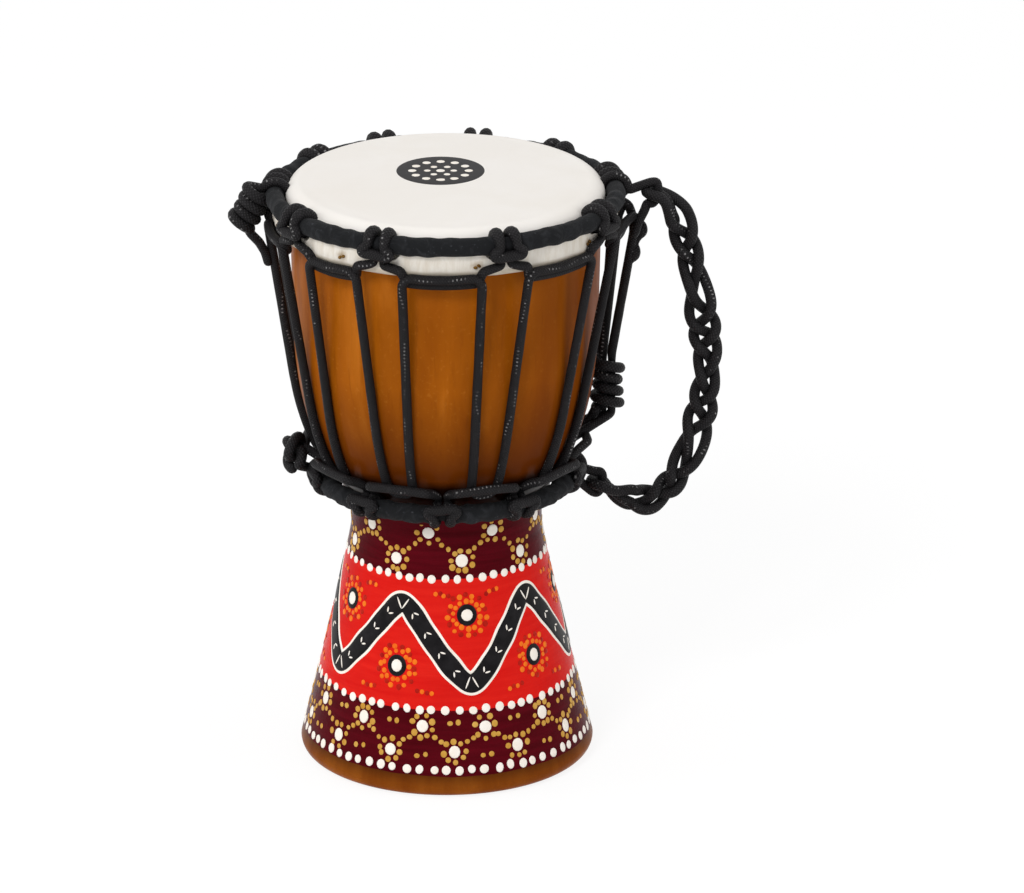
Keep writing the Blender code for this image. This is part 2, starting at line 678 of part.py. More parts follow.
def stoppers(finish):
    """The lacing's own two ends beside the strap, each tied off in a stopper knot.

    They lie on the lacing's corner and on the upright below it.
    """
    drop = lacing_drop()[::-1]
    points = []
    for azimuth, height, fat in STOPPERS:
        z = HEAD_Z - CRADLE_DROP + height
        r = np.interp(z, [p[0] for p in drop], [p[1] for p in drop])
        points.append((*polar(azimuth, r + CORD_R + GAP + FACET + fat, z), fat))
    return cord("lacing_end_knots", points, finish)


def hank(finish):
    """The long rope's spare end: wound into a small hank that hangs beside the bowl."""
    axis_r = lacing_top_radius() - HANK_INSET
    axis_point = np.array(polar(HANK_AZ, axis_r, 0.0))
    out = np.array(polar(HANK_AZ, 1.0, 0.0))
    along = np.cross((0.0, 0.0, 1.0), out)
    begin_z = HEAD_Z - CRADLE_LOOP_DROP - CORD_R - GAP - FACET
    end_z = WAIST_RUN_Z + CORD_R + GAP + FACET
    top_z = end_z + (begin_z - end_z) * HANK_PLACE
    low_z = top_z - HANK_PITCH * HANK_TURNS
    points = []
    for share, radial in HANK_LEAD:
        at = axis_point - out * HANK_COIL_R * radial
        points.append((at[0], at[1], begin_z + (top_z - begin_z) * share, CORD_R))
    steps = 8
    for i in range(HANK_TURNS * steps + 1):
        a = math.pi + 2 * math.pi * i / steps
        at = axis_point + HANK_COIL_R * (out * math.cos(a) + along * math.sin(a))
        points.append((at[0], at[1], top_z - HANK_PITCH * i / steps, CORD_R))
    start_r = axis_r - HANK_COIL_R
    end_r = off_profile("shell", end_z, GAP + 2 * CORD_R + GAP + CORD_R)
    for share in HANK_TAIL:
        z = low_z + (end_z - low_z) * share
        points.append((*polar(HANK_AZ, start_r + (end_r - start_r) * share, z), CORD_R))
    gap = least_gap(points, spared=2 * math.pi * HANK_COIL_R * 0.7)
    print("tail_hank: least gap to itself %.2f mm" % (gap * 1000))
    return cord("tail_hank", points, finish)


clear_scene()
drum = bpy.data.collections.new("mini_djembe")
bpy.context.scene.collection.children.link(drum)

wood = material("turned_wood", (0.55, 0.24, 0.06), 0.35)
hide = material("goat_skin", (0.90, 0.88, 0.84), 0.6)
steel = material("ring_steel", (0.55, 0.55, 0.56), 0.35, 1.0)
cloth = material("ring_cloth", (0.02, 0.02, 0.024), 0.9)
rope = material("black_cord", (0.015, 0.015, 0.018), 0.75)

PROFILES = {"shell": shell_outside(), "skin": skin_outside()}
HOOP_Z = hoop_centre()[1]
SHEER = 0.00001          # height over which the skin's folded edge steps back to the bowl
OUTLINES = {
    "shell": np.array(PROFILES["shell"])[::-1].T,
    "skin": np.array([(BOWL_R, HOOP_Z - (apron_radius() - hoop_centre()[0])),
                      (apron_radius(), HOOP_Z), (apron_radius(), HOOP_Z + SKIN_TAIL),
                      (BOWL_R, HOOP_Z + SKIN_TAIL + SHEER)]).T,
}

turned("shell", shell_outside() + shell_inside(), wood, True)
turned("drum_skin", skin_outside(), hide, False)
turned("flesh_hoop", arc(hoop_centre(), HOOP_WIRE_R, 90, -210, 5), steel, True)
tension_ring("crown_ring", crown_ring(), 180.0, steel, cloth)
tension_ring("waist_ring", waist_ring(), 143.0, steel, cloth)
crown_loops(rope)
waist_loops(rope)
lacing(rope)
bail("strap_bail_top", crown_ring(), "skin", strap_top(), rope)
bail("strap_bail_foot", waist_ring(), "shell", strap_foot(), rope)
strap(rope)
fist_knot(rope)
waist_knot(rope)
stoppers(rope)
hank(rope)
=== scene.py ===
"""Mini djembe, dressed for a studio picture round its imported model.

Metres, +Z up. Places round the drum are given as an azimuth in degrees, measured from the front
(-Y) towards +X, a radius from the axis and a height.
"""

import math

import bmesh
import bpy
import numpy as np
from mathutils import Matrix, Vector


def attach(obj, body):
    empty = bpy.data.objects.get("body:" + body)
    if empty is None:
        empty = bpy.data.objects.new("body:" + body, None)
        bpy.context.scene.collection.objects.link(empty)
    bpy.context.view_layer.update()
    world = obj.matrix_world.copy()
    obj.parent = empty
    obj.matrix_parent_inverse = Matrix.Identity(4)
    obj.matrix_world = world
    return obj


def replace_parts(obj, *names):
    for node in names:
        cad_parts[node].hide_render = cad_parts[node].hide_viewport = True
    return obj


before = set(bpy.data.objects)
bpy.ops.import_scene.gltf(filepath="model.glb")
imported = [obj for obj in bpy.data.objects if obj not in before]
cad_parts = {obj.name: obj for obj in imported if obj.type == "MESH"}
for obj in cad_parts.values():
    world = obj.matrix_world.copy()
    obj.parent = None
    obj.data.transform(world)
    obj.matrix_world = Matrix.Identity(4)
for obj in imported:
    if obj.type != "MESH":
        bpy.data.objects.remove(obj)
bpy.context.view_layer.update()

# Turned wooden shell
HEAD_Z = 0.2097
BOWL_R = 0.0540
BELLY_R = 0.0530
BELLY_Z = 0.1650
BOWL_CORE_R = 0.0200
BOWL_DROP = 0.0698
BOWL_POWER = 2.25
NECK_R = 0.0333
NECK_TOP_Z = 0.0955
NECK_FOOT_Z = 0.0840
FOOT_R = 0.0525
FOOT_POWER = 1.12
FOOT_EDGE_R = 0.0045
BOWL_WALL = 0.0060
FOOT_WALL = 0.0075
THROAT_R = 0.0240
NECK_FILLET = 0.0012
EDGE_R = 0.0040
SHELL_TOP = HEAD_Z - 0.0011

# Skin and rings
SKIN_T = 0.0008
SKIN_GAP = 0.0003
HOOP_WIRE_R = 0.0015
HOOP = (BOWL_R + 2 * SKIN_GAP + SKIN_T + HOOP_WIRE_R, HEAD_Z - 0.0130)
APRON_R = HOOP[0] + HOOP_WIRE_R + SKIN_GAP + SKIN_T
SKIN_TAIL = 0.0036
CROWN_RING = (0.0597, HEAD_Z - 0.0040)
CROWN_TUBE = 0.0031
WAIST_RING = (0.0432, 0.1027)
WAIST_TUBE = 0.0031

# Cord
CORD_R = 0.00164
PINCH_R = 0.00140
NIP_R = 0.00105
SNUG = 0.00008
EAR_SWELL = 0.36         # a hitch's turns spread flat over the ring
STEP = 0.0005            # length between a cord's rings of points
SIDES = 12

# Lacing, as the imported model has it
CROWN_HITCHES = (-57.0, -21.5, 20.0, 63.0, 105.0, 138.0, 169.0, 203.0, 232.0, 262.0)
LACING_FEET = (-55.5, -20.0, 17.0, 54.0, 105.0, 138.0, 169.0, 203.0, 232.0, 262.0)
HITCH_HALF = 0.0027
STAND_HALF = 0.0015
HITCH_STAND_DROP = 0.0070
HITCH_BAR_DROP = 0.0026
CORNER_HALF = 0.0082
FOOT_CORNER_DEG = 5.8
CRADLE_Z = HEAD_Z - 0.0150
CRADLE_LOOP_Z = HEAD_Z - 0.0175
WAIST_RUN_Z = 0.1126
LACING_TURN_Z = 0.1097
CORD_BEND = 0.0022
LACING_TOP_R = APRON_R + CORD_R

# Strap
STRAP_AZ = 96.0
STRAP_TOP = np.array((0.0735, 0.2022))
STRAP_FOOT = np.array((0.05462, 0.0960))
BAIL_HALF = 0.0031
STRAP_ROUTE = ((0.012, 0.0038), (0.049, 0.0072), (0.097, 0.0104), (0.144, 0.0132),
               (0.237, 0.0175), (0.316, 0.0208), (0.404, 0.0243), (0.493, 0.0275),
               (0.561, 0.0292), (0.640, 0.0297), (0.720, 0.0299), (0.786, 0.0295),
               (0.860, 0.0283), (0.944, 0.0257), (1.012, 0.0215), (1.050, 0.0150),
               (1.036, 0.0072))
STRAP_CORD_R = 0.00190    # the strap's cord is slack, so it swells a little
PLAIT_A = 0.0037
PLAIT_B = 0.0022
PLAIT_TURNS = 1200.0 / 360.0
PLAIT_END = 0.0125

# Rope ends
FIST_AZ = 271.5
WAIST_KNOT_AZ = 274.6
HANK_AZ = 104.5
HANK_R = 0.0580
HANK_TOP_Z = 0.1378
HANK_LOW_Z = 0.1206
STOPPER_R = 0.0023

# Painted foot: heights of the rows of white dots, and of the bare wooden edge
ROW_HEIGHTS = (0.0102, 0.0305, 0.0755)
BARE_Z = 0.0082
PAINT_TOP_Z = 0.1000
RELIEF = 0.00024         # thickness of a painted dot

chance = np.random.default_rng(11)


# Surfaces

def surface(name, grid, finish, wrap_rows=False, poles=(None, None), uv=None, marks=None,
            wrap_cols=True, sharp=None):
    """A mesh through a grid of points, whose columns close into rings.

    Rows run along the piece and columns round it. A pole is one more point that closes the
    first or last ring. uv gives the distance along at each row; round the piece it runs 0 to 1.
    """
    rows, cols = grid.shape[:2]
    i = np.arange(rows if wrap_rows else rows - 1)[:, None]
    j = np.arange(cols if wrap_cols else cols - 1)[None]
    corners = [(i, j), (i, j + 1), (i + 1, j + 1), (i + 1, j)]
    quads = np.stack([(a % rows) * cols + b % cols for a, b in corners], -1).reshape(-1, 4)
    points = grid.reshape(-1, 3)
    faces = quads.tolist()
    along = np.arange(rows + 1.0) if uv is None else np.append(uv, 2 * uv[-1] - uv[-2])
    spots = [np.stack(np.broadcast_arrays(along[a], b / cols), -1) for a, b in corners]
    spots = np.stack(spots, 2).reshape(-1, 2)
    ring = np.arange(cols)
    for pole, row, turn in ((poles[0], 0, False), (poles[1], rows - 1, True)):
        if pole is None:
            continue
        tip = len(points)
        points = np.vstack([points, pole])
        here, there = row * cols + ring, row * cols + (ring + 1) % cols
        fan = (here, there, tip + 0 * ring) if turn else (tip + 0 * ring, there, here)
        faces += np.stack(fan, 1).tolist()
        tips = np.stack([np.full((cols, 3), along[row]), np.tile(ring[:, None] / cols, (1, 3))], -1)
        spots = np.vstack([spots, tips.reshape(-1, 2)])
    mesh = bpy.data.meshes.new(name)
    mesh.from_pydata(points.tolist(), [], faces)
    layer = mesh.uv_layers.new(name="UVMap")
    layer.data.foreach_set("uv", spots.astype(np.float32).ravel())
    if marks is not None:
        stain = mesh.attributes.new("mark", "FLOAT", "POINT")
        flat = np.zeros(len(points), np.float32)
        flat[:marks.size] = marks.ravel()
        stain.data.foreach_set("value", flat)
    return piece(name, mesh, finish, sharp)


def face_out(mesh):
    """Turns a closed mesh right side out: all faces flip where their signed volume is below 0."""
    solid = bmesh.new()
    solid.from_mesh(mesh)
    inside_out = solid.calc_volume(signed=True) < 0.0
    solid.free()
    if inside_out:
        mesh.flip_normals()


def piece(name, mesh, finish, sharp=None, body="drum"):
    """A finished mesh as an object that rides on a body."""
    face_out(mesh)
    mesh.materials.append(finish)
    mesh.shade_smooth()
    if sharp:
        mesh.set_sharp_from_angle(angle=math.radians(sharp))
    made = bpy.data.objects.new(name, mesh)
    bpy.context.scene.collection.objects.link(made)
    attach(made, body)
    return made


def arc(centre, radius, start, end, steps):
    """Points (r, z) on a circle from one angle to another, in degrees."""
    a = np.radians(np.linspace(start, end, steps + 1))
    return np.stack([centre[0] + radius * np.cos(a), centre[1] + radius * np.sin(a)], 1)


def polar(azimuth, radius, z):
    """Points of space from azimuth in degrees, radius and height, which may be arrays."""
    a = np.radians(azimuth)
    return np.stack(np.broadcast_arrays(radius * np.sin(a), -radius * np.cos(a), z), -1)


def bowl_radius(z, shrink=0.0):
    """Outside of the bowl: a superellipse below the belly, nearly straight above it."""
    shifted = np.asarray(z, float) - shrink
    share = np.clip((shifted - BELLY_Z) / (SHELL_TOP - BELLY_Z), 0.0, 1.0)
    depth = np.clip((BELLY_Z - shifted) / BOWL_DROP, 0.0, 1.0)
    swell = (1.0 - depth ** BOWL_POWER) ** (1.0 / BOWL_POWER)
    side = BOWL_CORE_R + (BELLY_R - BOWL_CORE_R) * swell
    return side + (BOWL_R - BELLY_R) * share - shrink


def foot_radius(z, mouth=FOOT_R, throat=NECK_R):
    """Flare of the foot: throat + (mouth - throat) * share^power."""
    share = np.clip((NECK_FOOT_Z - np.asarray(z, float)) / NECK_FOOT_Z, 0.0, 1.0)
    return throat + (mouth - throat) * share ** FOOT_POWER


def shell_outside():
    """Points (r, z) down the outside, from the bearing edge to the ground."""
    low = NECK_TOP_Z + NECK_FILLET * 5
    quarter = np.sin(np.radians(np.linspace(0.0, 90.0, 60)))
    side = np.concatenate([np.linspace(SHELL_TOP - EDGE_R, BELLY_Z, 14)[1:],
                           BELLY_Z + (low - BELLY_Z) * quarter[1:]])
    neck = np.array([(0.0362, 0.0986), (NECK_R + NECK_FILLET, NECK_TOP_Z + NECK_FILLET),
                     (0.0337, 0.0954), (NECK_R, NECK_TOP_Z - NECK_FILLET)])
    flare = np.linspace(NECK_FOOT_Z, FOOT_EDGE_R, 80)
    edge = foot_radius(FOOT_EDGE_R) - FOOT_EDGE_R
    return np.vstack([arc((BOWL_R - EDGE_R, SHELL_TOP - EDGE_R), EDGE_R, 90, 0, 10),
                      np.stack([bowl_radius(side), side], 1), neck,
                      np.stack([foot_radius(flare), flare], 1),
                      arc((edge, FOOT_EDGE_R), FOOT_EDGE_R, -6, -90, 8)])


def shell_inside():
    """Points (r, z) up the inside, from the ground to the bearing edge."""
    mouth = FOOT_R - FOOT_WALL
    bell = np.linspace(0.0, NECK_FOOT_Z, 24)
    low = NECK_TOP_Z + NECK_FILLET * 5
    quarter = np.sin(np.radians(np.linspace(90.0, 0.0, 24)))
    side = BELLY_Z + (low - BELLY_Z) * quarter
    bowl = np.maximum(bowl_radius(side + BOWL_WALL, BOWL_WALL), THROAT_R)
    return np.vstack([np.stack([foot_radius(bell, mouth, THROAT_R), bell], 1),
                      [(THROAT_R, NECK_TOP_Z)], np.stack([bowl, side + BOWL_WALL], 1),
                      [(BOWL_R - BOWL_WALL, SHELL_TOP - EDGE_R),
                       (BOWL_R - BOWL_WALL + EDGE_R / 4, SHELL_TOP)]])


def skin_outside():
    """Points (r, z) along the skin's outer face: over the edge, round the hoop and up."""
    corner = (BOWL_R - EDGE_R, SHELL_TOP - EDGE_R)
    fold = HOOP_WIRE_R + SKIN_GAP + SKIN_T
    return np.vstack([arc(corner, EDGE_R + SKIN_GAP + SKIN_T, 90, 0, 12),
                      arc(HOOP, fold, 180, 360, 14),
                      [(HOOP[0] + fold, HOOP[1] + SKIN_TAIL * s) for s in (0.35, 0.7, 1.0)]])


def turned(profile, steps):
    """A profile turned about the axis: a grid of its points by azimuth."""
    azimuth = np.linspace(0.0, 360.0, steps, endpoint=False)[None]
    return polar(azimuth, profile[:, :1], profile[:, 1:2])


def waves(azimuth, height, count, least, most):
    """Sum of sine waves of chance pitch and phase, round the drum and up it, about -1 to 1."""
    a = np.radians(azimuth)
    total = 0.0
    for _ in range(count):
        turns = chance.integers(least, most)
        total = total + np.sin(turns * a + chance.uniform(-0.4, 0.4) * turns * height * 40
                               + chance.uniform(0, 2 * math.pi))
    return total / math.sqrt(count)


# Cord routes

SHELL_LINE = shell_outside()
APRON_LINE = skin_outside()[13:]


def distance_to(line, point):
    """Least distance from a point (r, z) to a line of straight pieces."""
    start, run = line[:-1], np.diff(line, axis=0)
    to = np.array(point) - start
    share = np.clip((to * run).sum(1) / np.maximum((run * run).sum(1), 1e-12), 0.0, 1.0)
    return float(np.linalg.norm(to - share[:, None] * run, axis=1).min())


def off_line(line, z, clear):
    """Radius at which a point of this height lies clear of a line by a distance."""
    low, high = NECK_R, BOWL_R + 0.03
    heights, radii = line[::-1, 1], line[::-1, 0]
    for _ in range(26):
        middle = 0.5 * (low + high)
        inside = line is SHELL_LINE and middle < np.interp(z, heights, radii)
        inside = inside or (line is APRON_LINE and middle < HOOP[0])
        if inside or distance_to(line, (middle, z)) < clear:
            low = middle
        else:
            high = middle
    return high


def round_ring(ring, line, angle, fat=CORD_R):
    """Cord centre and radius beside a ring, thinned where the ring presses it on the drum."""
    (r, z), tube = ring
    a = math.radians(angle)
    low, high = 0.0002, fat
    for _ in range(20):
        middle = 0.5 * (low + high)
        reach = tube + SNUG + middle
        if distance_to(line, (r + reach * math.cos(a), z + reach * math.sin(a))) >= middle:
            low = middle
        else:
            high = middle
    reach = tube + SNUG + low
    return r + reach * math.cos(a), z + reach * math.sin(a), max(low, NIP_R)


def rope_line(points, closed=False, step=STEP, soft=0.0008):
    """Even points along a rope's route, with its corners rounded.

    The straight route is read at even steps, and each point then becomes the mean of its
    neighbours, weighted by exp(-distance^2 / (2 soft^2)).
    """
    route = np.array(points, float)
    if closed:
        route = np.vstack([route, route[:1]])
    gaps = np.linalg.norm(np.diff(route[:, :3], axis=0), axis=1)
    along = np.concatenate([[0.0], np.cumsum(gaps)])
    wanted = np.linspace(0.0, along[-1], round(along[-1] / step), endpoint=not closed)
    line = np.stack([np.interp(wanted, along, route[:, k]) for k in range(route.shape[1])], 1)
    reach = math.ceil(3 * soft / step)
    weights = np.exp(-0.5 * (np.arange(-reach, reach + 1) * step / soft) ** 2)
    weights /= weights.sum()
    if closed:
        padded = np.vstack([line[-reach:], line, line[:reach]])
    else:
        padded = np.vstack([2 * line[0] - line[reach:0:-1], line,
                            2 * line[-1] - line[-2:-reach - 2:-1]])
    return np.stack([np.convolve(padded[:, k], weights, "valid")
                     for k in range(line.shape[1])], 1)


def carried_frames(line, closed):
    """Two directions square to the line at each point, carried along it without twist."""
    if closed:
        tangent = np.roll(line, -1, 0) - np.roll(line, 1, 0)
    else:
        tangent = np.gradient(line, axis=0)
    tangent /= np.linalg.norm(tangent, axis=1)[:, None]
    side = np.empty_like(tangent)
    last = np.cross(tangent[0], (0.3, 0.2, 1.0))
    for k, t in enumerate(tangent):
        last = last - t * last.dot(t)
        last /= math.sqrt(last.dot(last))
        side[k] = last
    up = np.cross(tangent, side)
    if closed:
        home = side[0]
        turn = math.atan2(home.dot(up[-1]), home.dot(side[-1]))
        angle = (turn * np.arange(len(line)) / len(line))[:, None]
        side, up = (side * np.cos(angle) + up * np.sin(angle),
                    up * np.cos(angle) - side * np.sin(angle))
    return tangent, side, up


def rope(name, points, finish, closed=False, sides=SIDES, soft=0.0008, step=STEP):
    """A cord: a ring of points carried along its route, rounded at open ends.

    Round the cord at angle a it lies at radius * (side * cos a + up * sin a).
    """
    line = rope_line(points, closed, step, soft)
    middle, radius = line[:, :3], line[:, 3]
    count = len(line)
    swell = np.interp(np.arange(count), np.arange(0, count + 8, 8),
                      chance.uniform(-1.0, 1.0, len(np.arange(0, count + 8, 8))))
    radius = radius * (1.0 + 0.022 * swell)
    tangent, side, up = carried_frames(middle, closed)
    poles = (None, None)
    if not closed:
        bulge = np.radians((20.0, 50.0, 75.0))
        first = [(middle[0] - tangent[0] * radius[0] * math.cos(b), radius[0] * math.sin(b), 0)
                 for b in bulge]
        last = [(middle[-1] + tangent[-1] * radius[-1] * math.cos(b),
                 radius[-1] * math.sin(b), -1) for b in bulge[::-1]]
        poles = (middle[0] - tangent[0] * radius[0], middle[-1] + tangent[-1] * radius[-1])
        middle = np.vstack([[m for m, _, _ in first], middle, [m for m, _, _ in last]])
        radius = np.concatenate([[r for _, r, _ in first], radius, [r for _, r, _ in last]])
        side = np.vstack([np.repeat(side[:1], 3, 0), side, np.repeat(side[-1:], 3, 0)])
        up = np.vstack([np.repeat(up[:1], 3, 0), up, np.repeat(up[-1:], 3, 0)])
    a = np.linspace(0.0, 2 * math.pi, sides, endpoint=False)[None, :, None]
    grid = middle[:, None] + radius[:, None, None] * (side[:, None] * np.cos(a)
                                                     + up[:, None] * np.sin(a))
    along = np.arange(len(middle)) * step / (2 * CORD_R)
    return surface(name, grid, finish, wrap_rows=closed, poles=poles, uv=along)


def degrees_round(length, radius):
    return math.degrees(length / radius)


def crown_ring(azimuth):
    """Centre and tube of the crown ring, which sits lower and closer towards the back."""
    lean = 1.0 - np.cos(np.radians(azimuth))
    centre = (CROWN_RING[0] - 0.00090 * lean, CROWN_RING[1] - 0.00095 * lean)
    return centre, CROWN_TUBE - 0.00012 * lean


def waist_ring(azimuth):
    return WAIST_RING, WAIST_TUBE + 0.0 * azimuth


def hitch(azimuth, ring, line, down, loose):
    """One cow hitch on a ring, left to right, as points (x, y, z, radius).

    Each half leaves the drum's face, goes behind the bar, round the ring and out over the bar.
    loose holds this hitch's own small differences from the next one.
    """
    (r0, z0), tube = ring
    press, squash = (0.70, 1.0) if down > 0 else (0.62, 0.72)
    wide = HITCH_HALF * (1.0 + 0.06 * loose[0])
    stand_z = z0 - down * HITCH_STAND_DROP
    nip_z = z0 - down * 0.0046
    bar_z = z0 - down * (HITCH_BAR_DROP + 0.0002 * loose[1])
    half = [(STAND_HALF, off_line(line, stand_z, SNUG + PINCH_R), stand_z, PINCH_R),
            (STAND_HALF, off_line(line, nip_z, SNUG + NIP_R), nip_z, NIP_R)]
    for angle in np.arange(60.0, 361.0, 15.0):
        swell = 1.0 + EAR_SWELL * math.sin(math.radians(np.interp(angle, (110, 350), (0, 180))))
        fat = NIP_R if angle < 90.0 else CORD_R
        r, z, fat = round_ring(((r0, z0), tube * press), line, -down * angle, fat)
        z = z0 + (z - z0) * np.interp(angle, (110.0, 200.0, 300.0, 360.0),
                                      (1.0, squash, squash, 1.0))
        half.append((np.interp(angle, (85.0, 175.0), (STAND_HALF, wide)), r, z, fat * swell))
    front = r0 + 0.00405
    half.append((wide * 1.30, front, z0 - down * 0.0008, CORD_R * 1.10))
    half.append((wide * 1.85, front + 0.0001, bar_z + down * 0.0007, CORD_R * 1.05))
    half.append((wide * 1.62, front + 0.0001, bar_z - down * 0.0006, CORD_R * 1.06))
    half.append((wide * 0.70, front, bar_z - down * 0.0004, CORD_R * 1.15))
    points = []
    for sign, order in ((-1, half), (1, half[::-1])):
        for side, r, z, fat in order:
            swing = azimuth + degrees_round(sign * side + 0.0002 * loose[2], r0)
            tilt = 0.0003 * loose[3] * sign if r > r0 else 0.0
            points.append((*polar(swing, r, z + tilt), fat))
    return points


def following(azimuths):
    return list(azimuths[1:]) + [azimuths[0] + 360.0]


def crown_loops():
    """The cord that hangs the lacing from the crown ring: ten hitches with a run between them."""
    run_r = LACING_TOP_R - 0.0022
    half = degrees_round(CORNER_HALF, CROWN_RING[0]) * 1.15
    points = []
    for azimuth, after in zip(CROWN_HITCHES, following(CROWN_HITCHES)):
        leg = []
        for share, rise, fat in ((0.82, 0.0049, 0.0017), (0.44, 0.0058, 0.0016)):
            z = CRADLE_LOOP_Z + rise
            leg.append((half * share, off_line(APRON_LINE, z, SNUG + fat), z, fat))
        points += [(*polar(azimuth - offset, r, z), fat) for offset, r, z, fat in leg]
        points += hitch(azimuth, crown_ring(azimuth), APRON_LINE, 1, chance.uniform(-1, 1, 4))
        points += [(*polar(azimuth + offset, r, z), fat) for offset, r, z, fat in leg[::-1]]
        for share in np.linspace(0.0, 1.0, 9):
            along = azimuth + half + (after - azimuth - 2 * half) * share
            sag = 0.0004 * math.sin(math.pi * share)
            points.append((*polar(along, run_r, CRADLE_LOOP_Z - sag), CORD_R))
    return points


def waist_loops():
    """The cord on the waist ring: hitches halfway between the crown's, runs over the lacing."""
    ring = (WAIST_RING, WAIST_TUBE)
    stand = degrees_round(STAND_HALF, WAIST_RING[0])
    run_r = off_line(SHELL_LINE, WAIST_RUN_Z, 3 * CORD_R + 2 * SNUG)
    leg_z = 0.5 * (WAIST_RUN_Z + WAIST_RING[1] + HITCH_STAND_DROP)
    leg_r = off_line(SHELL_LINE, leg_z, CORD_R + 0.0009)
    points = []
    for here, there in zip(LACING_FEET, following(LACING_FEET)):
        azimuth = 0.5 * (here + there)
        spread = (azimuth - here) - min(12.0, azimuth - here - 5.5)
        inner = 0.5 * (spread + stand)
        bow = chance.uniform(-0.0004, 0.0004)
        points.append((*polar(azimuth - spread, run_r, WAIST_RUN_Z), CORD_R))
        points.append((*polar(azimuth - inner, leg_r, leg_z), CORD_R))
        points += hitch(azimuth, ring, SHELL_LINE, -1, chance.uniform(-1, 1, 4))
        points.append((*polar(azimuth + inner, leg_r, leg_z), CORD_R))
        points.append((*polar(azimuth + spread, run_r, WAIST_RUN_Z), CORD_R))
        gap = there - azimuth - spread
        for share in (0.33, 0.67, 1.0):
            lift = 0.0004 * math.sin(math.pi * 0.5 * share) + bow * share
            points.append((*polar(azimuth + spread + gap * share, run_r, WAIST_RUN_Z + lift),
                           CORD_R))
    return points


def taut(points):
    """Upper hull of points (z, r) given from the top down: a cord pulled tight over them."""
    hull = []
    for point in points:
        while len(hull) > 1:
            (z0, r0), (z1, r1) = hull[-2], hull[-1]
            if (r1 - r0) * (point[0] - z0) < (point[1] - r0) * (z1 - z0):
                break
            hull.pop()
        hull.append(point)
    return hull


def lacing_drop():
    drop = [(CRADLE_Z - CORD_BEND, LACING_TOP_R)]
    for z in np.linspace(BELLY_Z, LACING_TURN_Z + CORD_BEND, 16)[1:]:
        drop.append((z, off_line(SHELL_LINE, z, CORD_R + SNUG)))
    return taut(drop)


def cradle_r(azimuth):
    """Radius of the lacing where it turns at the crown: it stands out above the spare hank."""
    off = abs(azimuth - CROWN_HITCHES[4])
    return LACING_TOP_R + 0.0046 * min(1.0, max(0.0, 1.0 - (off - 9.0) / 12.0)) ** 2


def lacing():
    """The long rope that runs up and down between the crown loops and the waist loops."""
    corner = degrees_round(CORNER_HALF, CROWN_RING[0])
    top_bend = degrees_round(CORD_BEND, LACING_TOP_R)
    drop = lacing_drop()
    turn_r = off_line(SHELL_LINE, LACING_TURN_Z, CORD_R + SNUG)
    foot_bend = degrees_round(CORD_BEND, turn_r)
    total = drop[0][0] - drop[-1][0]
    points = []

    def fall(azimuth, foot, side, lean):
        """One upright from the crown to the waist, at one side of a hitch."""
        upright = []
        above, below = azimuth + side * corner, foot + side * FOOT_CORNER_DEG
        if azimuth == CROWN_HITCHES[4]:
            radial, turn = 0.0013 * side, side * 1.1
            return [(*polar(above, LACING_TOP_R + 0.0048 - 0.0004 * side, drop[0][0]), CORD_R),
                    (*polar(HANK_AZ + turn, HANK_R - radial, HANK_TOP_Z + 0.004), CORD_R),
                    (*polar(HANK_AZ + turn, HANK_R - radial, HANK_TOP_Z), 0.00135),
                    (*polar(HANK_AZ + turn, HANK_R - radial, HANK_LOW_Z), 0.00135),
                    (*polar(HANK_AZ + turn, HANK_R - radial, HANK_LOW_Z - 0.0015), CORD_R),
                    (*polar(below, turn_r, drop[-1][0]), CORD_R)]
        for z, r in drop:
            share = (drop[0][0] - z) / total
            at = above + (below - above) * share + lean * math.sin(math.pi * share)
            upright.append((*polar(at, r, z), CORD_R))
        return upright

    for azimuth, foot, after in zip(CROWN_HITCHES, LACING_FEET, following(CROWN_HITCHES)):
        lean = chance.uniform(-0.35, 0.35, 2)
        points.append((*polar(azimuth - corner - top_bend, cradle_r(azimuth - corner - top_bend),
                              CRADLE_Z), CORD_R))
        points += fall(azimuth, foot, -1, lean[0])
        for side in (-1, 1):
            turn = foot + side * (FOOT_CORNER_DEG - foot_bend)
            points.append((*polar(turn, turn_r, LACING_TURN_Z), CORD_R))
        points += fall(azimuth, foot, 1, lean[1])[::-1]
        start, end = azimuth + corner + top_bend, after - corner - top_bend
        for share in np.linspace(0.0, 1.0, 7)[:-1]:
            sag = 0.0004 * math.sin(math.pi * share)
            at = start + (end - start) * share
            points.append((*polar(at, cradle_r(at), CRADLE_Z - sag), CORD_R))
    return points


def in_strap_plane(r, z, depth=0.0):
    """A point of the strap's own radial plane, moved by depth square to that plane."""
    a = math.radians(STRAP_AZ)
    x, y, height = polar(STRAP_AZ, r, z)
    return (x + depth * math.cos(a), y + depth * math.sin(a), height)


STRAP_AXIS = (STRAP_TOP - STRAP_FOOT) / np.linalg.norm(STRAP_TOP - STRAP_FOOT)
INWARD = np.array((-STRAP_AXIS[1], STRAP_AXIS[0]))


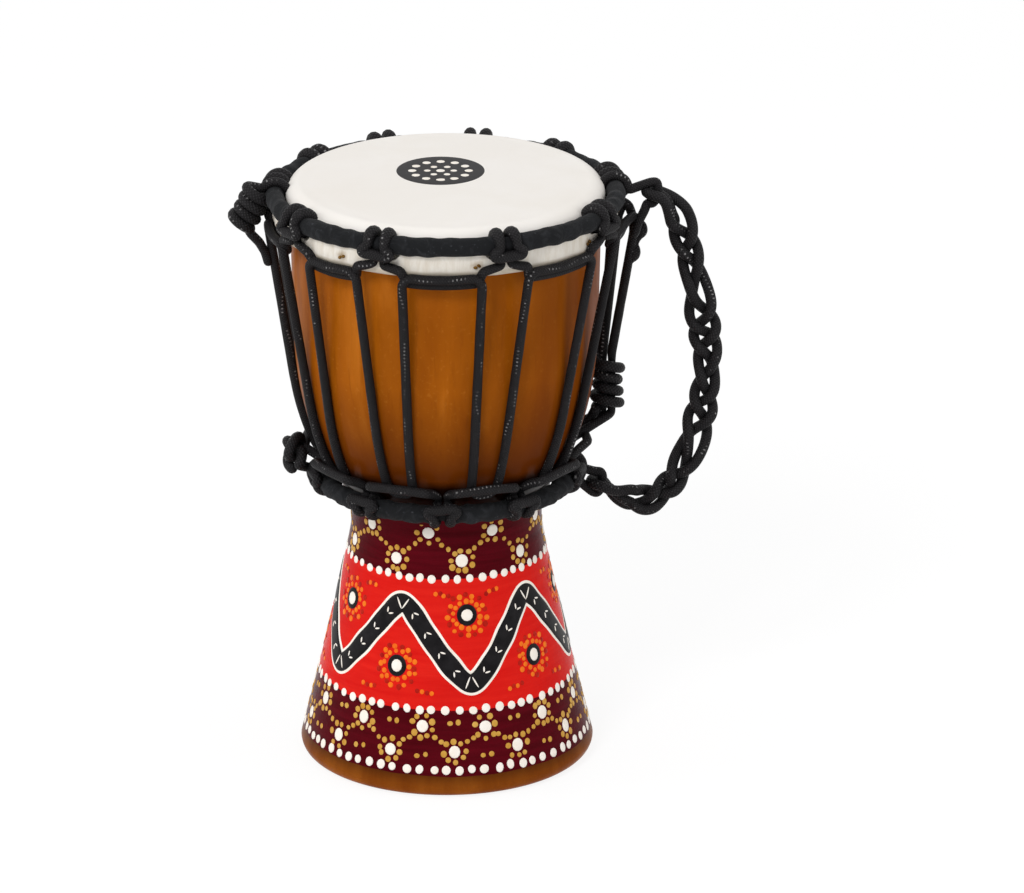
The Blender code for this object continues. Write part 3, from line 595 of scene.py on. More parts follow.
def bail(ring, line, bar_centre, droop=()):
    """A closed loop of cord round a ring, whose outer side is the bar the strap hangs on.

    droop lists points (r, z, depth, radius) that its lower leg takes on its way to the ring.
    """
    section = [(*round_ring(ring, line, angle), 0.0)
               for angle in np.arange(-275.0, -50.0, 15.0)[::-1]]
    section += [(*round_ring(ring, line, angle), 0.0) for angle in (45.0, 15.0, -12.0)]
    for sign in (1, -1):
        end = bar_centre + sign * STRAP_AXIS * BAIL_HALF
        away = end + CORD_BEND * (0.3 * sign * STRAP_AXIS + 1.3 * INWARD)
        shoulder = end + CORD_BEND * (0.50 * sign * STRAP_AXIS + 0.4 * INWARD)
        bar = end - CORD_BEND * 0.5 * sign * STRAP_AXIS
        section += [(p[0], p[1], CORD_R, 0.0) for p in [away, shoulder, bar][::sign]]
    section += [(r, z, fat, depth) for r, z, depth, fat in droop]
    return [(*in_strap_plane(r, z, depth), fat) for r, z, fat, depth in section]


def strap_line():
    """Middle line of the strap, as points (r, z) from the upper bar to the lower."""
    bulge = [STRAP_TOP + (STRAP_FOOT - STRAP_TOP) * share - INWARD * off
             for share, off in STRAP_ROUTE]
    return rope_line([STRAP_TOP, *bulge, STRAP_FOOT], step=0.0009, soft=0.0022)


def strap_strands(route):
    """One cord plaited with itself: down, round the lower bar, up, round the upper, down.

    Across the strap a strand lies at A sin(phase), and through it at B sin(2 phase), with the
    three strands a third of a turn apart. The ends close into a flat fold round each bar.
    """
    fold = 2 * STRAP_CORD_R + SNUG
    tangent = np.gradient(route, axis=0)
    tangent /= np.linalg.norm(tangent, axis=1)[:, None]
    across = np.stack([tangent[:, 1], -tangent[:, 0]], axis=1)
    steps = np.concatenate([[0.0], np.cumsum(np.linalg.norm(np.diff(route, axis=0), axis=1))])
    length = steps[-1]
    turning = np.clip((steps - PLAIT_END) / (length - 2 * PLAIT_END), 0.0, 1.0)
    phase = 2 * math.pi * PLAIT_TURNS * turning
    ease = np.clip(np.minimum(steps, length - steps) / PLAIT_END, 0.0, 1.0)
    ease = ease * ease * (3 - 2 * ease)
    middle_strand = np.where(steps < length / 2, 0, 2)
    phase = phase + ease * (0.45 * np.sin(steps / 0.0105) + 0.30 * np.sin(steps / 0.0047 + 1.0))
    wide = PLAIT_A * (1.0 + 0.17 * np.sin(steps / 0.0068 + 0.5))

    def strand(number):
        angle = phase + 2 * math.pi * number / 3
        outer = np.where(middle_strand == number, 0.0, np.sign(np.sin(2 * angle)))
        depth = ease * PLAIT_B * np.sin(2 * angle) + (1 - ease) * fold * outer
        flat = route + across * (ease * wide * np.sin(angle))[:, None]
        return [(*in_strap_plane(r, z, d), STRAP_CORD_R) for (r, z), d in zip(flat, depth)]

    def turn(bar_centre, start):
        """Half a turn round a bar, square to the hinge axis, on the drum's side of it."""
        half = []
        for angle in np.radians(np.arange(15.0, 170.0, 15.0)):
            r, z = bar_centre + INWARD * fold * math.sin(angle)
            half.append((*in_strap_plane(r, z, start * fold * math.cos(angle)), STRAP_CORD_R))
        return half

    def side_of(point):
        a = math.radians(STRAP_AZ)
        return math.copysign(1.0, point[0] * math.cos(a) + point[1] * math.sin(a))

    first, second, third = strand(0), strand(1), strand(2)
    points = first[1:] + turn(STRAP_FOOT, side_of(first[-1]))
    return points + second[::-1] + turn(STRAP_TOP, side_of(second[0])) + third[:-1]


def overhand(azimuth, centre, a, b, spin, fat):
    """An overhand knot: the trefoil (a + b cos 3t) turned by 2t, with depth b sin 3t."""
    out = polar(azimuth, 1.0, 0.0)
    up = np.array((0.0, 0.0, 1.0))
    along = np.cross(up, out)
    middle = polar(azimuth, centre[0], centre[1])
    t = np.linspace(0.16, 2 * math.pi - 0.16, 120)[:, None]
    wide = a + b * np.cos(3 * t)
    line = middle + wide * (along * np.cos(2 * t + spin) + up * np.sin(2 * t + spin))
    line = line - out * (b * 1.15 * np.sin(3 * t))
    return [(*p, CORD_R * fat) for p in line]


def fist():
    """A rope's end wound round itself: rings of radius R about a line that slants outward.

    A point lies at the line's place plus R (outward cos a + sideways sin a), and R swells and
    shrinks a little with each turn.
    """
    start, end = np.array((0.0648, 0.2062)), np.array((0.0708, 0.1938))
    run = (end - start) / np.linalg.norm(end - start)
    outward = np.array((-run[1], run[0]))
    turns = 3.6
    points = []
    for a in np.linspace(0.0, 2 * math.pi * turns, round(28 * turns)):
        share = a / (2 * math.pi * turns)
        reach = 0.0037 + 0.0004 * math.sin(a * 0.8 + 0.4)
        r, z = start + (end - start) * share + outward * reach * math.cos(a)
        azimuth = FIST_AZ + degrees_round(reach * math.sin(a), r)
        points.append((*polar(azimuth, r, z), CORD_R * 1.20))
    for azimuth, r, z in ((272.5, 0.0672, 0.1910), (271.5, 0.0644, 0.1876), (270.5, 0.0624, 0.1836),
                          (270.3, 0.0614, 0.1800)):
        points.append((*polar(azimuth, r, z), CORD_R))
    return points


def hooked(azimuth, ring, line):
    """A rope's end tucked behind a ring and brought out over it."""
    found = [round_ring(ring, line, angle) for angle in np.arange(150.0, 20.0, -15.0)]
    return [(*polar(azimuth, r, z), fat) for r, z, fat in found]


def stoppers():
    """The lacing's two ends beside the strap, each tied off in a stopper knot."""
    table = ((0.0662, 0.1918, 0.0012), (0.0684, 0.1890, STOPPER_R), (0.0686, 0.1872, STOPPER_R),
             (0.0672, 0.1850, 0.0013), (0.0662, 0.1828, 0.0013), (0.0662, 0.1804, STOPPER_R),
             (0.0658, 0.1784, STOPPER_R), (0.0648, 0.1766, 0.0012))
    return [(*polar(99.0, r, z), fat) for r, z, fat in table]


def hank():
    """The long rope's spare end, wound round two uprights: an ellipse carried down a line.

    At angle a it lies inward by P cos a and sideways by Q sin a, one pitch lower for each turn.
    """
    out = polar(HANK_AZ, 1.0, 0.0)
    along = np.cross((0.0, 0.0, 1.0), out)
    axis = polar(HANK_AZ, HANK_R, 0.0)
    turns = 4
    points = [(*polar(112.0, 0.0626, 0.1915), CORD_R), (*polar(110.5, 0.0596, 0.1560), CORD_R),
              (*polar(108.3, 0.0558, 0.1425), CORD_R)]
    for a in np.linspace(0.0, 2 * math.pi * turns, 24 * turns + 1):
        share = a / (2 * math.pi * turns)
        ease = min(1.0, a, 2 * math.pi * turns - a)
        lump = 1.0 + 0.12 * ease * math.sin(a / 2.7 + 0.6)
        at = axis - lump * (out * 0.0040 * math.cos(a) + along * 0.0042 * math.sin(a))
        z = HANK_TOP_Z + (HANK_LOW_Z - HANK_TOP_Z) * share + 0.0010 * ease * math.sin(a + 0.5)
        points.append((at[0], at[1], z, CORD_R * 1.14))
    end_z = WAIST_RUN_Z + CORD_R + SNUG
    end_r = off_line(SHELL_LINE, end_z, 3 * CORD_R + 2 * SNUG)
    points.append((*polar(HANK_AZ + 1.0, 0.0526, 0.1178), CORD_R))
    points.append((*polar(HANK_AZ, end_r, end_z), CORD_R))
    return points


# Painted dots and bands

def on_foot(azimuth, z, lift):
    """A point of the painted foot, lifted along its normal."""
    r = foot_radius(z)
    slope = (foot_radius(z + 0.0005) - foot_radius(z - 0.0005)) / 0.001
    tip = 1.0 / np.sqrt(1.0 + slope * slope)
    return polar(azimuth, r + lift * tip, z - lift * slope * tip)


def on_apron(azimuth, z, lift):
    return polar(azimuth, APRON_R + lift, z)


def on_head(azimuth, reach, lift):
    """A point of the playing skin, where the place up the surface is a distance inward."""
    return polar(azimuth, reach, HEAD_Z + lift)


DOME = ((1.0, -0.35), (0.97, 0.45), (0.78, 0.88), (0.40, 1.0))


def spots(name, table, place, finish, slot, sides=10):
    """Low domes on a surface, each a few rings of points that close at its top and underside.

    A row of the table gives azimuth, place up the surface, half length, half width, turn from
    the level in degrees and thickness. Rings lie at a share of the outline, lifted by a share.
    """
    rows = np.array(table, float)[:, :, None, None]
    azimuth, z, long_half, wide_half, turn, thick = (rows[:, k] for k in range(6))
    ring = np.array(DOME)[None, :, 0, None]
    lift = np.array(DOME)[None, :, 1, None]
    a = np.linspace(0.0, 2 * math.pi, sides, endpoint=False)[None, None]
    p, q = long_half * ring * np.cos(a), wide_half * ring * np.sin(a)
    spin = np.radians(turn)
    level, steep = p * np.cos(spin) - q * np.sin(spin), p * np.sin(spin) + q * np.cos(spin)
    z_at = z + steep
    reach = np.linalg.norm(place(azimuth, z_at, 0.0 * z_at)[..., :2], axis=-1)
    at = place(azimuth + np.degrees(level / np.maximum(reach, 0.0004)), z_at, thick * lift)
    count, rings = at.shape[:2]
    top = place(azimuth, z, thick)[:, 0, 0]
    under = place(azimuth, z, -0.35 * thick)[:, 0, 0]
    points = np.concatenate([at.reshape(count, -1, 3), top[:, None], under[:, None]], 1)
    i, j = np.meshgrid(np.arange(rings - 1), np.arange(sides), indexing="ij")
    quads = np.stack([i * sides + j, i * sides + (j + 1) % sides,
                      (i + 1) * sides + (j + 1) % sides, (i + 1) * sides + j], -1).reshape(-1, 4)
    j = np.arange(sides)
    crown = np.stack([(rings - 1) * sides + j, (rings - 1) * sides + (j + 1) % sides,
                      0 * j + rings * sides], 1)
    base = np.stack([(j + 1) % sides, j, 0 * j + rings * sides + 1], 1)
    shift = np.arange(count)[:, None, None] * points.shape[1]
    faces = (quads[None] + shift).reshape(-1, 4).tolist()
    faces += (np.vstack([crown, base])[None] + shift).reshape(-1, 3).tolist()
    mesh = bpy.data.meshes.new(name)
    mesh.from_pydata(points.reshape(-1, 3).tolist(), [], faces)
    return piece(name, mesh, finish, sharp=60)


def jitter(amount):
    return float(chance.uniform(-amount, amount))


def dot_row(z, spacing, radius):
    """A ring of dots round the foot, each a little off its even place."""
    count = round(2 * math.pi * float(foot_radius(z)) / spacing)
    return [(360.0 / count * (k + jitter(0.16)), z + jitter(0.0003),
             radius * (1 + jitter(0.12)), radius * (1.04 + jitter(0.12)), jitter(30), RELIEF)
            for k in range(count)]


def rosette(azimuth, z, heart, petals, petal, reach):
    """A white dot ringed with small ones: returns the two tables of dots."""
    round_deg = math.degrees(1.0 / float(foot_radius(z)))
    hearts = [(azimuth, z, heart * (1 + jitter(0.08)), heart * (1.08 + jitter(0.08)), 0, RELIEF)]
    ring = []
    turn = jitter(math.pi)
    for k in range(petals):
        a = 2 * math.pi * (k + jitter(0.20)) / petals + turn
        out = reach * (1 + jitter(0.09))
        size = petal * (1 + jitter(0.15))
        ring.append((azimuth + out * math.cos(a) * round_deg, z + out * math.sin(a),
                     size, size * (1 + jitter(0.1)), 0, RELIEF * 0.8))
    return hearts, ring


def link(start, end, count, size):
    """A chain of small dots between two places on the foot."""
    return [(start[0] + (end[0] - start[0]) * s, start[1] + (end[1] - start[1]) * s + jitter(4e-4),
             size * (1 + jitter(0.15)), size * (1 + jitter(0.15)), 0, RELIEF * 0.8)
            for s in np.linspace(0.0, 1.0, count)]


ZIGZAG_TURNS = 5
ZIGZAG_MID = 0.0530
ZIGZAG_SWING = 0.0135
ZIGZAG_AZ = -24.0


def zigzag_height(azimuth):
    """Middle of the band: a sine wave sharpened towards a zigzag by asin(0.93 sin x)."""
    x = np.radians((azimuth - ZIGZAG_AZ) * ZIGZAG_TURNS) + math.pi / 2
    return ZIGZAG_MID + ZIGZAG_SWING * np.arcsin(0.93 * np.sin(x)) / math.asin(0.93)


def band(name, half, lift, finish, steps=720):
    """A painted stripe that follows the zigzag round the foot, rounded at its two edges.

    Its middle line is measured along the surface, and each cross row steps square to that line.
    """
    azimuth = np.linspace(0.0, 360.0, steps, endpoint=False)
    z = zigzag_height(azimuth)
    reach = foot_radius(z)
    round_step = np.radians(np.roll(azimuth, -1) - np.roll(azimuth, 1)) % (2 * math.pi) * reach
    rise = np.roll(z, -1) - np.roll(z, 1)
    size = np.hypot(round_step, rise)
    square = np.stack([-rise / size, round_step / size], 1)
    across = np.array((-1.0, -0.985, -0.93, -0.6, -0.2, 0.2, 0.6, 0.93, 0.985, 1.0, 0.5, -0.5))
    height = np.array((-0.3, 0.55, 0.9, 1.0, 1.0, 1.0, 1.0, 0.9, 0.55, -0.3, -0.3, -0.3)) * lift
    wander = 1.0 + 0.03 * np.sin(np.radians(azimuth) * 37.0) + 0.03 * np.sin(
        np.radians(azimuth) * 23.0 + 1.0)
    off = across[None] * half * wander[:, None]
    at_z = z[:, None] + square[:, 1:] * off
    at_az = azimuth[:, None] + np.degrees(square[:, :1] * off / foot_radius(at_z))
    grid = on_foot(at_az, at_z, height[None] + 0.0 * at_z)
    return surface(name, grid[:, ::-1], finish, wrap_rows=True, sharp=50)


def zigzag_marks():
    """Short leaf strokes in pairs along the band, and two bars across it at every bend."""
    table = []
    for k in range(ZIGZAG_TURNS * 2):
        middle = ZIGZAG_AZ + 180.0 / ZIGZAG_TURNS * (k + 0.5)
        for share in (-0.30, -0.10, 0.10, 0.30):
            azimuth = middle + share * 180.0 / ZIGZAG_TURNS
            z = float(zigzag_height(azimuth))
            ahead = float(zigzag_height(azimuth + 0.5)) - z
            run = math.radians(0.5) * float(foot_radius(z))
            heading = math.degrees(math.atan2(ahead, run))
            square = math.radians(heading + 90.0)
            for side in (-1, 1):
                off = side * 0.00085
                table.append((azimuth + math.degrees(off * math.cos(square)
                                                     / float(foot_radius(z))),
                              z + off * math.sin(square), 0.00115, 0.00036,
                              heading + side * 38.0, RELIEF * 2.1))
        for bar in (-0.45, 0.45):
            azimuth = middle + bar * 180.0 / ZIGZAG_TURNS
            z = float(zigzag_height(azimuth))
            ahead = float(zigzag_height(azimuth + 0.5)) - z
            heading = math.degrees(math.atan2(ahead, math.radians(0.5) * float(foot_radius(z))))
            table.append((azimuth, z, 0.0026, 0.00034, heading + 90.0, RELIEF * 2.1))
    return table


def foot_paint():
    """Tables of white, gold, orange, rust and black dots for the whole foot."""
    white, gold, orange, rust, black = [], [], [], [], []
    for z, spacing, size in zip(ROW_HEIGHTS, (0.0047, 0.0046, 0.0043),
                                (0.00152, 0.00148, 0.00142)):
        white += dot_row(z, spacing, size)
    for count, low, high, first in ((26, 0.0163, 0.0247, 4.0), (18, 0.0814, 0.0915, 9.0)):
        places = [(first + 360.0 / count * k + jitter(0.8), (low, high)[k % 2] + jitter(0.0006))
                  for k in range(count)]
        for k, (azimuth, z) in enumerate(places):
            hearts, ring = rosette(azimuth, z, 0.00208, int(chance.integers(7, 10)), 0.00104,
                                   0.0038)
            white += hearts
            gold += ring
            after = places[(k + 1) % count]
            after = (after[0] + (360.0 if k == count - 1 else 0.0), after[1])
            width = after[0] - azimuth
            gold += link((azimuth + width * 0.40, z + (after[1] - z) * 0.42),
                         (azimuth + width * 0.60, z + (after[1] - z) * 0.58), 2, 0.00095)
            if k % 2 and low < 0.05:
                gold += link((azimuth - width * 0.13, low - 0.0012),
                             (azimuth + width * 0.13, low - 0.0012), 2, 0.00095)
            elif low < 0.05:
                gold += link((azimuth - width * 0.13, high + 0.0014),
                             (azimuth + width * 0.13, high + 0.0014), 2, 0.00095)
    for k in range(ZIGZAG_TURNS * 2):
        azimuth = ZIGZAG_AZ + 180.0 / ZIGZAG_TURNS * k + jitter(1.0)
        z = (0.0445, 0.0628)[k % 2] + jitter(0.0006)
        hearts, inner = rosette(azimuth, z, 0.0021, 14, 0.00090, 0.0049)
        white += [(a, h, u, v, t, RELIEF * 1.9) for a, h, u, v, t, _ in hearts]
        black.append((azimuth, z, 0.0036, 0.0038, 0, RELIEF * 0.9))
        orange += inner
        _, outer = rosette(azimuth, z, 0.0019, 18, 0.00092, 0.0069)
        edge = [(a, h, u, v, t, s) for a, h, u, v, t, s in outer
                if abs(h - float(zigzag_height(a))) > 0.0052 and 0.0335 < h < 0.0725]
        rust += edge[::2]
        orange += edge[1::2]
    for k in range(ZIGZAG_TURNS * 2):
        for side in (-1, 1):
            azimuth = ZIGZAG_AZ + 180.0 / ZIGZAG_TURNS * (k + 0.30 * side)
            z = (0.0365, 0.0698)[k % 2]
            for s in range(4):
                a, h = azimuth + side * 2.2 * s, z + (-1, 1)[k % 2] * 0.0002 * s
                if abs(h - float(zigzag_height(a))) > 0.0056 and s < 4:
                    (orange if s % 2 else rust).append(
                        (a + jitter(0.3), h + jitter(4e-4), 0.0008, 0.00085, 0, RELIEF * 0.8))
    return white, gold, orange, rust, black


# Finishes

def tone(red, green, blue):
    """A colour from its 0 to 255 values, made linear."""
    shares = [v / 255.0 for v in (red, green, blue)]
    return tuple(v / 12.92 if v <= 0.04045 else ((v + 0.055) / 1.055) ** 2.4
                 for v in shares) + (1.0,)


class Wire:
    """A shader socket that Python's operators work on: each one adds a Math node."""

    def __init__(self, tree, socket=None):
        self.tree, self.socket = tree, socket

    def add(self, kind, settings=None, sockets=None, out=0):
        """Any node: its settings are set first, then its sockets get values or links."""
        node = self.tree.nodes.new("ShaderNode" + kind)
        for key, value in (settings or {}).items():
            if key == "stops":
                ramp = node.color_ramp
                while len(ramp.elements) < len(value):
                    ramp.elements.new(0.5)
                for stop, (position, colour) in zip(ramp.elements, value):
                    stop.position, stop.color = position, colour
            else:
                setattr(node, key, value)
        for key, value in (sockets or {}).items():
            if isinstance(value, Wire):
                self.tree.links.new(value.socket, node.inputs[key])
            else:
                node.inputs[key].default_value = value
        return Wire(self.tree, node.outputs[out])

    def maths(self, operation, *values, clamp=False):
        return self.add("Math", {"operation": operation, "use_clamp": clamp},
                        dict(enumerate(values)))

    def __add__(self, other):
        return self.maths("ADD", self, other)

    def __sub__(self, other):
        return self.maths("SUBTRACT", self, other)

    def __rsub__(self, other):
        return self.maths("SUBTRACT", other, self)

    def __mul__(self, other):
        return self.maths("MULTIPLY", self, other)

    def __truediv__(self, other):
        return self.maths("DIVIDE", self, other)

    def __gt__(self, other):
        return self.maths("GREATER_THAN", self, other)

    def __lt__(self, other):
        return self.maths("LESS_THAN", self, other)

    __radd__ = __add__
    __rmul__ = __mul__

    def part(self):
        """The fraction left after the last whole number."""
        return self.maths("FRACT", self)

    def step(self, low, high):
        """0 below low, 1 above high, and an even slope between them."""
        return self.add("MapRange", None, {"Value": self, "From Min": low, "From Max": high})

    def axis(self, letter):
        return self.add("SeparateXYZ", None, {0: self}, "XYZ".index(letter))

    def noise(self, scale, detail=2.0, rough=0.5, twist=0.0, stretch=(1.0, 1.0, 1.0), at=(0, 0, 0)):
        """Noise over a place, which may be stretched and moved first."""
        place = self.add("Mapping", None, {"Vector": self, "Scale": stretch, "Location": at})
        return self.add("TexNoise", None, {"Vector": place, "Scale": scale, "Detail": detail,
                                           "Roughness": rough, "Distortion": twist})

    def blend(self, first, second):
        """A colour between two, by this socket's value."""
        return self.add("Mix", {"data_type": "RGBA"}, {0: self, 6: first, 7: second}, 2)


def finish(name, **constants):
    """A new material: returns it, its tree as a Wire and its Principled shader."""
    made = bpy.data.materials.new(name)
    made.use_nodes = True
    shader = made.node_tree.nodes["Principled BSDF"]
    for key, value in constants.items():
        shader.inputs[key.replace("_", " ")].default_value = value
    return made, Wire(made.node_tree), shader


def feed(wire, shader, **sockets):
    """Link varying values to the shader. relief is a pair: a height in metres and a strength."""
    relief = sockets.pop("relief", None)
    if relief:
        height, strength = relief
        bump = wire.add("Bump", None, {"Strength": strength, "Distance": 1.0, "Height": height})
        wire.tree.links.new(bump.socket, shader.inputs["Normal"])
    for key, value in sockets.items():
        wire.tree.links.new(value.socket, shader.inputs[key.replace("_", " ")])


def varnished_and_painted():
    """The shell: varnished wood above, bands of gloss paint on the foot, raw wood inside."""
    made, w, shader = finish("varnished_and_painted", Coat_Weight=0.02, Coat_Roughness=0.10,
                             Specular_IOR_Level=0.10, IOR=1.20)
    place = w.add("TexCoord", None, None, "Object")
    z = place.axis("Z")
    mark = w.add("Attribute", {"attribute_name": "mark"}, None, "Fac")
    streak = place.noise(9.0, 5.0, 0.55, 0.4, stretch=(9.0, 9.0, 1.6))
    cloud = place.noise(3.0, 3.0, 0.5, 0.2, stretch=(9.0, 9.0, 4.0), at=(3.1, 0.4, 1.0))
    pore = place.noise(40.0, 3.0, 0.6, 0.0, stretch=(16.0, 16.0, 1.2))
    speck = place.noise(620.0, 2.0, 0.6)
    grain = (streak * 0.60 + cloud * 0.40).step(0.28, 0.70)
    wood = w.add("ValToRGB", {"stops": [(0.0, tone(122, 58, 5)), (0.35, tone(148, 76, 7)),
                                        (0.65, tone(164, 88, 12)), (1.0, tone(190, 110, 30))]},
                 {"Fac": grain})
    wood = (pore.step(0.56, 0.70) * 0.22).blend(wood, tone(104, 48, 6))
    wood = (speck.step(0.60, 0.74) * 0.25).blend(wood, tone(196, 122, 44))
    # Painted shade: the wood is darkened towards +X, the side of the bowl turned away from the key
    # light.
    side = place.axis("X").step(0.0100, 0.0480)
    wood = (side * 0.75).blend(wood, tone(112, 52, 5))
    # Darker towards the bottom of the bowl: partly a stain, partly painted shade where the bowl
    # curves in under.
    low = 1 - (z + cloud * 0.010).step(0.1230, 0.1560)
    wood = (low * 0.92).blend(wood, tone(90, 38, 4))
    top = (z + cloud * 0.006).step(0.1780, 0.1960)
    wood = (top * 0.25).blend(wood, tone(186, 100, 22))
    # Painted shadow: the wood between the waist cord's run and the waist ring is made near black,
    # standing in for the shade of the cords over it.
    painted_shadow_band = 1 - (z + cloud * 0.002).step(0.1130, 0.1165)
    wood = (painted_shadow_band * 0.96).blend(wood, tone(22, 8, 4))
    edge = 1 - z.step(0.0, 0.0110)
    wood = edge.blend(wood, streak.step(0.35, 0.65).blend(tone(146, 70, 8), tone(178, 98, 26)))
    wobble = (place.noise(60.0, 2.0) - 0.5) * 0.0016
    up = z + wobble
    brush = place.noise(30.0, 4.0, 0.6, 0.0, stretch=(1.2, 1.2, 14.0))
    patch = place.noise(45.0, 2.0, 0.5)
    maroon = brush.step(0.30, 0.72).blend(tone(70, 2, 10), tone(92, 6, 20))
    red = brush.step(0.30, 0.72).blend(tone(216, 24, 20), tone(228, 38, 28))
    red = (patch.step(0.5, 0.75) * 0.30).blend(red, tone(198, 22, 18))
    on_red = (up > ROW_HEIGHTS[1]) * (up < ROW_HEIGHTS[2])
    paint = on_red.blend(maroon, red)
    painted = (up > BARE_Z) * (up < PAINT_TOP_Z)
    colour = painted.blend(wood, paint)
    raw = cloud.step(0.3, 0.7).blend(tone(168, 124, 78), tone(190, 148, 98))
    inside = mark > 0.5
    colour = inside.blend(colour, raw)
    fine = place.noise(900.0, 2.0, 0.6)
    gloss = painted * (0.18 + fine * 0.14) + (1 - painted) * (0.24 + pore * 0.16)
    rough = inside * 0.45 + gloss
    height = painted * (fine * 0.00012 + brush * 0.00012) + (1 - painted) * (pore * 0.00005)
    feed(w, shader, Base_Color=colour, Roughness=rough, relief=(height, 0.8))
    return made


def gloss_paint(name, light, dark, rough=0.28):
    """Thick paint that dried in a dome: two near shades, and a fine dimpled gloss."""
    made, w, shader = finish(name, Specular_IOR_Level=0.30, IOR=1.25)
    place = w.add("TexCoord", None, None, "Object")
    shade = place.noise(260.0, 3.0, 0.6).step(0.32, 0.70)
    fine = place.noise(1400.0, 2.0, 0.5)
    feed(w, shader, Base_Color=shade.blend(light, dark), Roughness=rough + fine * 0.12,
         relief=(fine * 0.00005 + shade * 0.00003, 0.7))
    return made


def rawhide():
    """Bleached goat skin: faint clouds, fibres on its trimmed strip, brown stains at its holes."""
    made, w, shader = finish("bleached_rawhide", Specular_IOR_Level=0.15)
    place = w.add("TexCoord", None, None, "Object")
    z = place.axis("Z")
    mark = w.add("Attribute", {"attribute_name": "mark"}, None, "Fac")
    cloud = place.noise(28.0, 4.0, 0.55, 0.6)
    fibre = place.noise(60.0, 5.0, 0.65, 0.3, stretch=(7.0, 7.0, 1.6))
    pore = place.noise(1500.0, 2.0, 0.6)
    head = cloud.step(0.30, 0.72).blend(tone(250, 246, 241), tone(246, 241, 234))
    strip = fibre.step(0.40, 0.72).blend(tone(240, 234, 224), tone(222, 212, 196))
    below = 1 - z.step(HEAD_Z - 0.0060, HEAD_Z - 0.0040)
    colour = below.blend(head, strip)
    lip = 1 - (z + fibre * 0.0008).step(HEAD_Z - 0.0132, HEAD_Z - 0.0122)
    colour = (lip * 0.5).blend(colour, tone(176, 160, 132))
    stain = (mark * (0.7 + fibre * 0.7)).step(0.10, 0.95)
    colour = (stain * 0.9).blend(colour, tone(150, 122, 78))
    height = pore * 0.00003 + below * fibre * 0.00022 + cloud * 0.00006
    feed(w, shader, Base_Color=colour, Roughness=0.52 + fibre * 0.16, relief=(height, 0.7))
    return made


def wrapped_cloth():
    """Black cloth round a ring: a fine weave on the piece's own map, with paler worn folds."""
    made, w, shader = finish("wrapped_cloth", Specular_IOR_Level=0.12, Sheen_Weight=0.04,
                             Sheen_Roughness=0.5)
    uv = w.add("UVMap", {"uv_map": "UVMap"})
    place = w.add("TexCoord", None, None, "Object")
    along, around = uv.axis("X"), uv.axis("Y")
    weave = w.maths("SINE", along * 14000.0) * w.maths("SINE", around * 180.0)
    fold = place.noise(190.0, 4.0, 0.6, 1.4)
    worn = fold.step(0.50, 0.78)
    lint = place.noise(900.0, 2.0, 0.6).step(0.66, 0.76)
    colour = worn.blend(tone(25, 26, 28), tone(47, 48, 51))
    colour = (lint * 0.5).blend(colour, tone(84, 86, 92))
    feed(w, shader, Base_Color=colour, Roughness=0.76 + fold * 0.2,
         relief=(weave * 0.00004 + fold * 0.00060, 0.9))
    return made


def braided_cord():
    """Black braid: strands wound both ways, a bump at each crossing, two rows of pale stitches.

    Along the cord the map counts diameters, and round it it runs 0 to 1. A row of stitches lies
    along the cord and wanders a little round it.
    """
    made, w, shader = finish("braided_cord", Specular_IOR_Level=0.16)
    uv = w.add("UVMap", {"uv_map": "UVMap"})
    place = w.add("TexCoord", None, None, "Object")
    along, around = uv.axis("X"), uv.axis("Y")
    one = around * 8.0 + along * 3.4
    two = around * 8.0 - along * 3.4 + 400.0
    lump_one = 1 - w.maths("ABSOLUTE", one.part() * 2.0 - 1.0)
    lump_two = 1 - w.maths("ABSOLUTE", two.part() * 2.0 - 1.0)
    cell = lump_one.step(0.0, 0.75) * lump_two.step(0.0, 0.75)
    fuzz = place.noise(800.0, 3.0, 0.6)
    drift = place.noise(26.0, 2.0)
    row = (around + drift * 1.2 + 3.0).part()
    beside = (row > 0.10) * (row < 0.17) + (row > 0.60) * (row < 0.66)
    stitch = beside * ((along * 2.35).part() < 0.30)
    fleck = stitch * place.noise(170.0, 3.0).step(0.50, 0.62)
    colour = cell.blend(tone(10, 9, 10), tone(36, 34, 36))
    colour = (fuzz.step(0.54, 0.80) * 0.45).blend(colour, tone(58, 55, 58))
    colour = (fleck * 0.75).blend(colour, tone(146, 144, 144))
    feed(w, shader, Base_Color=colour, Roughness=0.58 - cell * 0.18 + fuzz * 0.12,
         relief=(cell * 0.00022 + fuzz * 0.00010, 0.9))
    return made


def drawn_steel():
    """Wire drawn to size: fine scratches along it."""
    made, w, shader = finish("drawn_steel", Metallic=1.0)
    place = w.add("TexCoord", None, None, "Object")
    scratch = place.noise(220.0, 3.0, 0.6, 0.0, stretch=(1.0, 1.0, 12.0))
    feed(w, shader, Base_Color=scratch.blend(tone(150, 150, 154), tone(190, 190, 192)),
         Roughness=0.30 + scratch * 0.2, relief=(scratch * 0.00003, 0.6))
    return made


def printed_ink():
    made, w, shader = finish("printed_ink", Specular_IOR_Level=0.15)
    place = w.add("TexCoord", None, None, "Object")
    shade = place.noise(500.0, 3.0, 0.6)
    feed(w, shader, Base_Color=shade.blend(tone(30, 29, 30), tone(44, 42, 43)),
         Roughness=0.45 + shade * 0.15, relief=(shade * 0.00003, 0.5))
    return made


PAINTED_WOOD = varnished_and_painted()
WHITE = gloss_paint("white_paint", tone(255, 250, 242), tone(250, 240, 226))
GOLD = gloss_paint("gold_paint", tone(216, 170, 84), tone(196, 142, 50))
ORANGE = gloss_paint("orange_paint", tone(248, 130, 30), tone(238, 104, 24))
RUST = gloss_paint("rust_paint", tone(196, 34, 14), tone(162, 18, 12))
BLACK = gloss_paint("black_paint", tone(14, 12, 14), tone(30, 28, 30), 0.32)
HIDE = rawhide()
CLOTH = wrapped_cloth()
BRAID = braided_cord()
STEEL = drawn_steel()
INK = printed_ink()
SINEW = gloss_paint("brown_sinew", tone(132, 98, 48), tone(88, 60, 26), 0.6)


# Camera and the free cords

